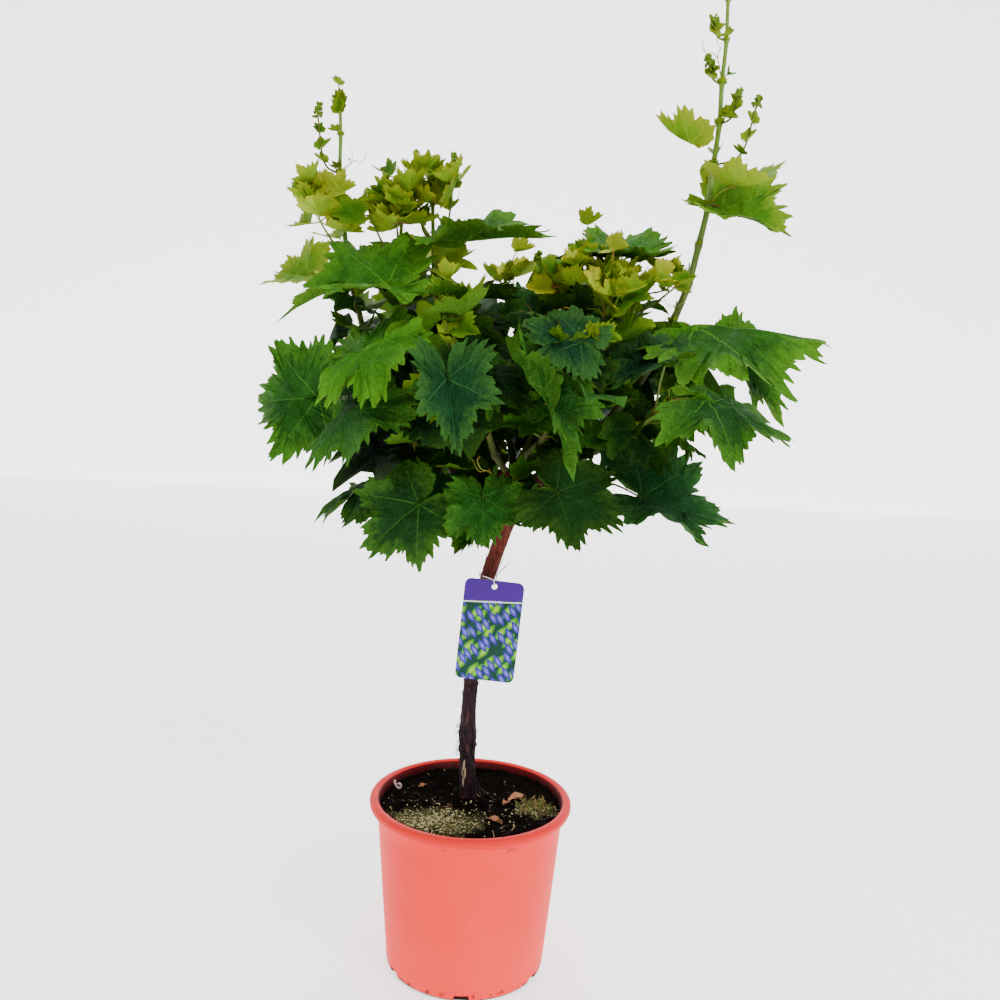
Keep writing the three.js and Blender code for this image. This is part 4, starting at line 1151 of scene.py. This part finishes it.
def leaf_part(blade, half, rings, looks, variation, is_side=False):
    """One leaf: a thin closed lens whose two faces meet at its toothed edge."""
    fold, bend, curl, twist, wave, tone = variation
    whole = whole_outline(half)
    turn = np.radians([t for t, _ in whole])
    ragged = 0.06 * np.sin(np.degrees(turn) * (0.5 + 0.25 * tone) + 40 * tone)
    long = np.array([l for _, l in whole]) * (1 + ragged)
    edge = np.stack([long * np.cos(turn), long * np.sin(turn)], axis=1)
    heart = np.array([SIDE_HEART if is_side else LEAF_HEART, 0.0])
    flat = np.concatenate([[heart]] + [heart + (edge - heart) * s for s in rings])
    share = np.concatenate([[0.0]] + [np.full(len(edge), s) for s in rings])
    x, y = flat.T
    far, swing = np.hypot(x, y), np.degrees(np.arctan2(np.abs(y), x))
    y = y / math.hypot(1, LEAF_FOLD + fold)
    z = (LEAF_FOLD + fold) * np.abs(y) - (LEAF_BEND + bend) * x * np.abs(x)
    z -= (LEAF_CURL + curl) * far**2
    off_vein = np.min([np.abs(swing - bearing) for bearing, _ in VEINS], axis=0)
    z += 0.055 * far * np.sin(np.radians(np.minimum(off_vein, 30)) * 3)
    z += wave * share**2 * np.sin(np.radians(swing) * 6 + tone * 9 + np.sign(y))
    z += 0.5 * wave * share**3 * np.sin(np.radians(swing) * 14 + tone * 31 + 2 * np.sign(y))
    z += 0.35 * wave * np.sin(17 * x + 20 * tone) * np.sin(19 * y + 11 * tone)
    z += twist * x * y + 0.07 * np.sin(6 * x + 9 * tone) * np.abs(y)
    size = blade.size
    middle = blade.at + np.outer(x, blade.along * size)
    middle += np.outer(y, blade.side * size) + np.outer(z, blade.face * size)
    count, inner, under = len(edge), len(flat) - len(edge), len(flat)
    lift = np.outer(np.full(inner, LEAF_THICK / 2), blade.face)
    points = np.concatenate([middle[:inner] + lift, middle[inner:], middle[:inner] - lift])
    faces, picks = [], []
    for n in range(count):
        after = (n + 1) % count
        for look, shift in zip(looks, (0, under)):
            ring = [1 + k * count + shift for k in range(len(rings) - 1)] + [inner]
            sides = [[shift, ring[0] + n, ring[0] + after]]
            for near, away in zip(ring, ring[1:]):
                sides.append([near + n, away + n, away + after])
                sides.append([near + n, away + after, near + after])
            faces += [corner[::-1] for corner in sides] if shift else sides
            picks += [look] * len(sides)
    uv = np.concatenate([flat, flat[:inner]])
    margin = np.stack([share, np.full(len(flat), tone)], axis=1)
    return points, faces, picks, {"blade": uv, "rim": np.concatenate([margin, margin[:inner]])}


def leaf_skin(name, deep, light, vein, edge, rough, shine, edge_wide=0.05, vein_wide=0.7,
              depth=0.0016):
    """Leaf tissue: veins, a net of fine cells between them, and a lit margin."""
    made = Finish(name, deep, rough, shine)
    flat = made.add("ShaderNodeUVMap", 0, {}, uv_map="blade")
    share, tone, _ = made.add("ShaderNodeUVMap", 0, {}, uv_map="rim").axes()
    x, y, _ = flat.axes()
    y = y.sum("ABSOLUTE")
    far, swing = (x * x + y * y).sum("SQRT"), y.sum("ARCTAN2", x)
    veins = branches = None
    for bearing, spread in VEINS:
        away = (swing - math.radians(bearing)).sum("ABSOLUTE")
        across, along = far * away.sum("SINE"), far * away.sum("COSINE")
        near = away.sum("LESS_THAN", math.radians(spread))
        width = along * (-0.013 * vein_wide) + 0.018 * vein_wide
        main = (across - width).step(-0.006, 0.004).rest() * near
        cycle = ((across * -0.85 + along) * 8.5).sum("FRACT")
        branch = (cycle - 0.5).sum("ABSOLUTE").step(0.455, 0.5) * near
        veins = main if veins is None else veins.sum("MAXIMUM", main)
        branches = branch if branches is None else branches.sum("MAXIMUM", branch)
    feeds = {"Scale": 34.0, "Vector": flat}
    cells = made.add("ShaderNodeTexVoronoi", "Distance", feeds, feature="DISTANCE_TO_EDGE")
    net = cells.step(0.0, 0.18).rest()
    puckers = made.mottle(13, on=flat)
    mixed = tone * 0.9 + (made.mottle(55) * 1.2 - 0.55)
    made.coat(mixed.step(0.0, 1.0), light)
    made.coat(net, light, 0.22)
    made.coat(branches, vein, 0.26)
    made.coat(veins, vein, 0.5)
    made.coat((share + (puckers * 0.7 - 0.35)).step(0.45, 1.0), edge, 0.48)
    made.coat(share.step(1 - edge_wide, 1.0), edge, 0.4)
    relief = puckers * 3.0 + (net * -0.3 + (veins * -0.6 + branches * -0.6))
    return made.close(relief, depth, 0.9)


YOUNG_RELIEF = 0.0005
# Painted light and shade: the first four greens are lit and shaded copies of one leaf green,
# darkest for shaded inner leaves and lightest for sunlit outer ones.
UPPER_GREENS = (  # deep, light, from shaded inner leaves to sunlit outer ones, and a bluish one
    ((6, 28, 8), (17, 57, 15)), ((13, 49, 14), (34, 90, 25)), ((15, 57, 14), (42, 103, 24)),
    ((20, 68, 12), (56, 118, 22)), ((8, 46, 24), (30, 86, 40)),
)
YOUNG_GREENS = (  # name, deep, light, vein, edge, width of the edge
    ("lime", (88, 136, 16), (134, 172, 34), (166, 190, 64), (172, 182, 40), 0.12),
    ("gold", (122, 152, 18), (176, 190, 44), (190, 200, 74), (190, 180, 52), 0.16),
    ("green", (48, 100, 12), (94, 146, 24), (126, 164, 48), (136, 158, 28), 0.08),
)
leaf_skins = []
for n, (deep, light) in enumerate(UPPER_GREENS):
    vein, edge = (tuple(map(sum, zip(light, more))) for more in ((40, 40, 22), (40, 34, 2)))
    leaf_skins.append(leaf_skin(f"leaf_upper_{n}", deep, light, vein, edge, 0.55, 0.08))
for name, deep, light, vein, edge, edge_wide in YOUNG_GREENS:
    leaf_skins.append(leaf_skin("young_leaf_" + name, deep, light, vein, edge, 0.5, 0.08,
                                edge_wide, 0.7, YOUNG_RELIEF))
leaf_skins += [
    leaf_skin("leaf_under_pale", (50, 96, 20), (80, 126, 34), (112, 148, 56), (94, 134, 34),
              0.8, 0.03, 0.04, 1.2),
    # This darker underside is a shaded copy of the pale one: painted shade.
    leaf_skin("leaf_under_shaded", (22, 60, 12), (44, 88, 22), (80, 116, 40), (62, 98, 24),
              0.8, 0.03, 0.04, 1.2),
    leaf_skin("young_leaf_under", (104, 148, 22), (148, 178, 40), (166, 188, 64), (174, 172, 40),
              0.7, 0.04, 0.12, 1.0, YOUNG_RELIEF),
]
SUNLIT, SKY_REFLECTION, LIME, GOLD, GREEN, UNDER_PALE, UNDER_SHADED, UNDER_YOUNG = range(3, 11)
CROWN_LOW, CROWN_TALL, CROWN_REACH = 420, 420, 170
YOUNG_FROM, YOUNG_ABOVE, YOUNG_WIDEST, SET_LIGHT = 0.5, 0.64, 60, 0.76
leaf_draw = np.random.RandomState(33)
leaf_parts = {"grown_leaves": [], "inner_leaves": [], "young_leaves": [], "side_twig_leaves": []}
for leaf in (leaf for shoot in shoots for leaf in shoot.leaves):
    blade = leaf.blade
    tone = leaf_draw.uniform(0, 1)
    fold = leaf_draw.choice((-0.5, -0.25, 0.0, 0.15, 0.3)) + leaf_draw.uniform(-0.08, 0.08)
    if leaf.pose:
        fold, more, share = leaf.pose
        turned, aside = math.cos(math.radians(more)), math.sin(math.radians(more))
        blade.size *= share
        blade.face, blade.side = (
            blade.face * turned + blade.side * aside,
            blade.side * turned - blade.face * aside,
        )
    variation = (fold, leaf_draw.uniform(-0.1, 0.22), leaf_draw.uniform(-0.06, 0.1),
                 leaf_draw.uniform(-0.3, 0.3), leaf_draw.uniform(0.04, 0.08), tone)
    # Each leaf's skins are picked by how lit it would stand: low and inner leaves get the darker
    # greens and the darker underside as painted shade, high and outer ones the lighter greens as
    # painted light.
    high = (blade.at[2] - CROWN_LOW) / CROWN_TALL
    out = math.hypot(blade.at[0] - 10, blade.at[1] * 1.1) / CROWN_REACH
    lit = high * 0.6 + out * 0.45 - 0.05 + leaf_draw.uniform(-0.2, 0.2)
    if leaf.kind == "inner":
        lit -= 0.2
    if leaf.pose and high > 0.4:
        lit = max(lit, SET_LIGHT)
    # Some leaves at random take the bluish green, a painted reflection of the sky on a glossy leaf.
    upper = int(np.clip(lit * 4, 0, 3.99)) if leaf_draw.uniform() > 0.15 else SKY_REFLECTION
    under = UNDER_SHADED if lit < 0.5 else UNDER_PALE
    young = high > YOUNG_FROM and blade.size < YOUNG_WIDEST or high > YOUNG_ABOVE
    if young:
        upper, under = int(leaf_draw.choice((LIME, LIME, GOLD, GREEN, GREEN))), UNDER_YOUNG
    if young and blade.size >= YOUNG_WIDEST:
        upper, under = GREEN, UNDER_PALE
    if leaf.kind == "side":
        kind, half, rings = "side_twig_leaves", SIDE_HALF, (1.0,)
        # Low side-twig leaves take the next lighter green, as painted light.
        upper = upper if high > YOUNG_FROM else min(upper + 1, SUNLIT)
    elif leaf.kind == "inner":
        kind, half, rings = "inner_leaves", INNER_HALF, (0.6, 1.0)
    elif blade.size < YOUNG_UNDER:
        kind, half, rings = "young_leaves", YOUNG_HALF, (0.4, 0.75, 1.0)
        if high <= YOUNG_FROM:
            upper, under = GREEN if high > 0.3 else SUNLIT, UNDER_PALE
        cupped = 0.3 + max(0.0, 36 - blade.size) * 0.03 + variation[0] * 0.5
        variation = (cupped, -0.3, -0.16, variation[3] * 0.3, 0.035, tone)
    else:
        kind, half, rings = "grown_leaves", FINE_HALF, (0.25, 0.5, 0.75, 0.92, 1.0)
        if young:
            variation = (0.25, -0.1, -0.08, variation[3] * 0.5, 0.05, tone)
    leaf_parts[kind].append(
        leaf_part(blade, half, rings, (upper, under), variation, leaf.kind == "side")
    )
for name, parts in leaf_parts.items():
    join_parts(name, parts, leaf_skins, masses)


# ---------------------------------------------------------------- flower buds and shoot tips
# Flower sprays are small branched clusters of round green buds on a stem with tiny cupped leaves,
# and every shoot ends in a slim spindle of folded leaflets, with a pair of scales at each joint.
def bud_skin(name, light, dark):
    made = Finish(name, light, 0.7, 0.1)
    cloudy = made.mottle(300)
    made.coat(cloudy, dark)
    return made.close(cloudy, 0.0005, 0.5)


BUD, BUD_STALK = range(2)  # which of the buds' finishes
TUFT_LIME, TUFT_GREEN, TUFT_UNDER = range(3)  # which of the leaflets' finishes
SPRAY_BRANCHES, BRANCH_BUDS, TIP_LEAFLETS, TIP_BUDS = 15, 4, 7, 6
bud_draw = np.random.RandomState(9)
bpy.ops.mesh.primitive_ico_sphere_add(subdivisions=1, radius=1)
ball = bpy.context.object
ball_points = np.array([tuple(v.co) for v in ball.data.vertices])
ball_faces = [tuple(face.vertices) for face in ball.data.polygons]
bpy.data.objects.remove(ball)
bud_parts, tuft_parts = [], []


def add_bud(at, radius, pick=BUD):
    corners = ball_points * radius * np.array([1, 1, 1.15]) + at
    bud_parts.append((corners, ball_faces, pick, {"grain": np.zeros((len(corners), 2))}))


def flower_spray(foot, size):
    """A loose cluster: a bent axis with short side branches that end in round buds."""
    tall, sway = size * 2.0, heading(bud_draw.uniform(0, 360))

    def on_axis(s):
        return foot + sway * size * 0.5 * s * s + upward(tall * (s - 0.3))

    axis = [on_axis(s) for s in (0.0, 0.33, 0.66, 1.0)]
    bud_parts.append(sweep(axis, [0.75, 0.6, 0.5, 0.35], 5, pick=BUD_STALK))
    for n in range(SPRAY_BRANCHES):
        s = 0.12 + 0.88 * (n + 0.5) / SPRAY_BRANCHES
        stem, wide = on_axis(s), size * (0.95 - 0.6 * s) * bud_draw.uniform(0.5, 1.0)
        out = stem + heading(GOLDEN_TURN * n, bud_draw.uniform(5, 45)) * wide
        branch = [stem, (stem + out) / 2 + upward(0.4), out]
        bud_parts.append(sweep(branch, [0.4, 0.35, 0.3], 4, pick=BUD_STALK))
        for _ in range(BRANCH_BUDS):
            nudge = bud_draw.uniform(-1.4, 1.4, 3)
            add_bud(out + nudge, bud_draw.uniform(0.9, 1.5))


def tiny_leaf(foot, bearing, pitch, size, folded):
    blade = make_blade(foot, bearing, bearing, pitch, 0, size)
    variation = (folded, -0.3, -0.12, 0.0, 0.03, bud_draw.uniform())
    looks = (int(bud_draw.choice((TUFT_LIME, TUFT_LIME, TUFT_GREEN))), TUFT_UNDER)
    tuft_parts.append(leaf_part(blade, SIDE_HALF, (0.6, 1.0), looks, variation, True))


for shoot in shoots:
    for spray in shoot.sprays:
        line = curve_through(spray.path)
        bud_parts.append(sweep(line, np.linspace(1.0, 0.8, len(line)), 6, pick=BUD_STALK))
        flower_spray(spray.path[2], spray.size)
        for n, share in enumerate((0.55, 0.7, 0.85)):
            foot, turn = line[int(share * (len(line) - 1))], 200 + 170 * n
            tiny_leaf(foot, turn + bud_draw.uniform(-30, 30), 20 + 15 * n,
                      bud_draw.uniform(9, 13), 0.55)
    for joint in range(shoot.bare + 1, shoot.joints):
        knuckle, girth = shoot.path[joint], shoot.radii[joint]
        for side in (-90, 90):
            turn = shoot.bearing + side
            tiny_leaf(knuckle + heading(turn) * girth * 0.8, turn, 35, bud_draw.uniform(5, 8), 0.3)
        add_bud(knuckle + heading(shoot.bearing + 40) * girth + upward(1.5), 1.6, BUD_STALK)
    tip = shoot.path[-1]
    for n in range(TIP_LEAFLETS):
        foot = tip + heading(GOLDEN_TURN * n) + upward(-15.0 + 2.3 * n)
        tiny_leaf(foot, GOLDEN_TURN * n, 56 + 4 * n, 14 - 1.2 * n, 0.9)
    for n in range(TIP_BUDS):
        at = tip + heading(GOLDEN_TURN * n, 30) * 1.4 + upward(0.6 * n - 2)
        add_bud(at, bud_draw.uniform(0.9, 1.3))
bud_skins = [bud_skin("bud_skin", (112, 138, 36), (66, 100, 22)),
             bud_skin("bud_stalk_skin", (98, 122, 42), (96, 80, 42))]
join_parts("flower_buds", bud_parts, bud_skins, masses)
join_parts("tip_leaflets", tuft_parts, [leaf_skins[n] for n in (LIME, GREEN, UNDER_YOUNG)],
           masses)

# ---------------------------------------------------------------- label
# A plastic hang label with rounded corners, printed with slim leaf shapes on deep green under a
# plum band. It is white behind, and punched with a hole for its wire.
LABEL_WIDE, LABEL_TALL, LABEL_THICK, LABEL_CORNER = 0.054, 0.094, 0.0008, 0.006
LABEL_HOLE, LABEL_RIM, LABEL_AT, LABEL_LEAN = 0.0026, 0.003, (0.014, -0.015, 0.372), 4
hole_drop = LABEL_TALL / 2 - LABEL_HOLE - LABEL_RIM
bpy.ops.object.select_all(action="DESELECT")
bpy.ops.mesh.primitive_cube_add(
    size=1, location=(0, -LABEL_THICK / 2, -hole_drop), scale=(LABEL_WIDE, LABEL_THICK, LABEL_TALL)
)
label = bpy.context.object
label.name = "hang_label"
bpy.ops.object.transform_apply(location=True, rotation=True, scale=True)
bpy.ops.object.mode_set(mode="EDIT")
bpy.ops.mesh.select_mode(type="EDGE")
bpy.ops.mesh.select_all(action="DESELECT")
bpy.ops.object.mode_set(mode="OBJECT")
for edge in label.data.edges:
    a, b = (label.data.vertices[k].co for k in edge.vertices)
    edge.select = abs(a.y - b.y) > LABEL_THICK / 2
bpy.ops.object.mode_set(mode="EDIT")
bpy.ops.mesh.bevel(offset=LABEL_CORNER, segments=10, affect="EDGES")
bpy.ops.object.mode_set(mode="OBJECT")
bpy.ops.mesh.primitive_cylinder_add(
    vertices=32, radius=LABEL_HOLE, depth=0.01, rotation=(math.pi / 2, 0, 0)
)
cut_away(label, bpy.context.object)
label.data.transform(
    Matrix.Translation(LABEL_AT) @ Matrix.Rotation(math.radians(LABEL_LEAN), 4, "Y")
)


def printed_label():
    made = Finish("printed_label", (10, 54, 44), 0.4, 0.15)
    feeds = {"Location": (-LABEL_AT[0], 0, -LABEL_AT[2]),
             "Vector": made.add("ShaderNodeTexCoord", "Object", {})}
    face = made.add("ShaderNodeMapping", 0, feeds)
    x, _, z = face.axes()
    flat = made.add("ShaderNodeCombineXYZ", 0, {"X": x, "Y": z})

    def motif(lean, scale, size, middle, rim, shift):
        """Loose rows of slim leaf shapes that lean one way, each lit along its middle."""
        feeds = {"Location": (shift, shift * 0.7, 0), "Scale": scale, "Vector": flat,
                 "Rotation": (0, 0, math.radians(lean))}
        rows = made.add("ShaderNodeMapping", 0, feeds, vector_type="TEXTURE")
        feeds = {"Scale": 1.0, "Randomness": 0.5, "Exponent": 1.35, "Vector": rows}
        away = made.add("ShaderNodeTexVoronoi", "Distance", feeds, voronoi_dimensions="2D",
                        distance="MINKOWSKI")
        shape = made.blend(away.step(0.0, size), middle, rim)
        made.coat(away.step(size, size + 0.05).rest(), shape)

    made.color = made.blend(made.mottle(60, on=face), (4, 36, 30), (14, 72, 50))
    motif(-38, (0.008, 0.02, 1), 0.42, (150, 210, 40), (56, 128, 24), 0.31)
    motif(32, (0.007, 0.017, 1), 0.4, (116, 110, 214), (40, 34, 128), 0.84)
    made.coat(z.step(-0.0132, -0.0130), (70, 26, 132))
    made.coat(z.sum("COMPARE", -0.0144, 0.0006), (226, 226, 220))
    back = made.add("ShaderNodeNewGeometry", "Normal", {}).axes()[1].step(-0.5, -0.4)
    made.coat(back, (228, 228, 222))
    scuffs = made.mottle(700, 4, on=face)
    return made.close(scuffs, 0.0001, 0.3, scuffs * 0.18 + 0.3)


smooth(label, 30)
label.data.materials.append(printed_label().material)
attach(label, "root")
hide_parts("label")

# ---------------------------------------------------------------- label's wire
# A thin plastic-covered wire: it passes behind the trunk, through the label's hole from behind
# and up over its top edge, and both ends stand off to the left.
WIRE_GIRTH, WIRE_SLACK, WIRE_RISE, WIRE_END, WIRE_SINK = 0.6, 0.8, 6, 0.3, 0.3
hole_at = np.array(LABEL_AT) * 1000
x, y, z = hole_at
t = (z + WIRE_RISE - GROUND) / (HEAD_AT[2] + HEAD_GIRTH - GROUND)
loop = trunk_radius(t) * 1.07 + WIRE_SINK + WIRE_GIRTH + WIRE_SLACK
hung = z + 930 * LABEL_HOLE - WIRE_SINK - WIRE_GIRTH
over = z + 1000 * (LABEL_HOLE + LABEL_RIM) + WIRE_SINK + WIRE_GIRTH
stops = [(x - 15, y + 6, z + 10)]
stops += [trunk_point(t) + heading(turn) * loop for turn in (205, 170, 130, 90, 50, 10, -25)]
stops += [(x + 0.5, y + 3, hung), (x, y - 0.4, hung), (x - 0.5, y - 2.6, z + 2.4),
          (x - 1.5, y - 2.2, over), (x - 11, y - 1, over + 3)]
wire_line, twist = curve_through(stops), trunk_point(t) + heading(-25) * loop
wire_parts = [sweep(wire_line, [WIRE_GIRTH] * len(wire_line), 10)]
for end in ((6, 3, 17), (12, 0, 14), (9, 5, 9)):
    middle = twist + (end[0] * 0.3, -1, end[2] * 0.4)
    wire_parts.append(tapered([twist, middle, twist + end], 5, WIRE_END, WIRE_END, 6, 0))
covered = Finish("covered_wire", (226, 226, 222), 0.4)
dull = covered.mottle(400)
covered.color = covered.blend(dull, (236, 236, 232), (178, 180, 176))
covered.close(dull, 0.0002)
join_parts("label_wire_loop", wire_parts, [covered], ["label_wire"])

# ---------------------------------------------------------------- studio
# A plain pale floor in a pale room, soft light from high on the right and a weaker one on the
# left, and a camera level with the leaves, tipped a little down towards the pot.
WHITE = (1, 1, 1, 1)
SHEETS = (  # what it is, its finish, size, place, turn, glow
    ("studio_floor", "studio_paper", 6, (0, 0, -0.0003), 0, 1.4),
    ("studio_backdrop", "studio_glow", 9, (0, 3, 2), math.pi / 2, 2.0),
)
for name, paper, size, place, turn, glow in SHEETS:
    bpy.ops.mesh.primitive_plane_add(size=size, location=place, rotation=(turn, 0, 0))
    sheet = bpy.context.object
    sheet.name = name
    made = Finish(paper, (250, 250, 250), 0.9)
    made.shader.inputs["Emission Color"].default_value = WHITE
    made.shader.inputs["Emission Strength"].default_value = glow
    sheet.data.materials.append(made.material)

room_light = bpy.data.worlds.new("studio_room")
room_light.use_nodes = True
room_light.node_tree.nodes["Background"].inputs["Color"].default_value = WHITE
room_light.node_tree.nodes["Background"].inputs["Strength"].default_value = 0.55
bpy.context.scene.world = room_light

LAMPS = (  # where it hangs, what it faces, its width, its power
    ((1.0, -1.3, 1.7), (0, 0, 0.5), 0.9, 34),
    ((-1.2, -1.4, 1.6), (0, 0, 0.45), 1.2, 13),
    ((0.1, 0.1, 2.3), (0, 0, 0.6), 0.8, 14),
)
for place, target, width, power in LAMPS:
    bpy.ops.object.light_add(type="AREA", location=place)
    lamp = bpy.context.object
    lamp.data.size = width
    lamp.data.energy = power
    aim = Vector(target) - Vector(place)
    lamp.rotation_euler = aim.to_track_quat("-Z", "Y").to_euler()

CAMERA_PLACE = (0.0155, -0.987, 0.6)
CAMERA_TIP, CAMERA_LEAN = 8.7, 2.5
bpy.ops.object.camera_add()
camera = bpy.context.object
camera.data.sensor_width = 36
camera.data.lens = 39.6
camera.data.clip_start = 0.01
camera.matrix_world = (
    Matrix.Translation(CAMERA_PLACE)
    @ Matrix.Rotation(math.radians(90 - CAMERA_TIP), 4, "X")
    @ Matrix.Rotation(math.radians(CAMERA_LEAN), 4, "Z")
)
bpy.context.scene.camera = camera
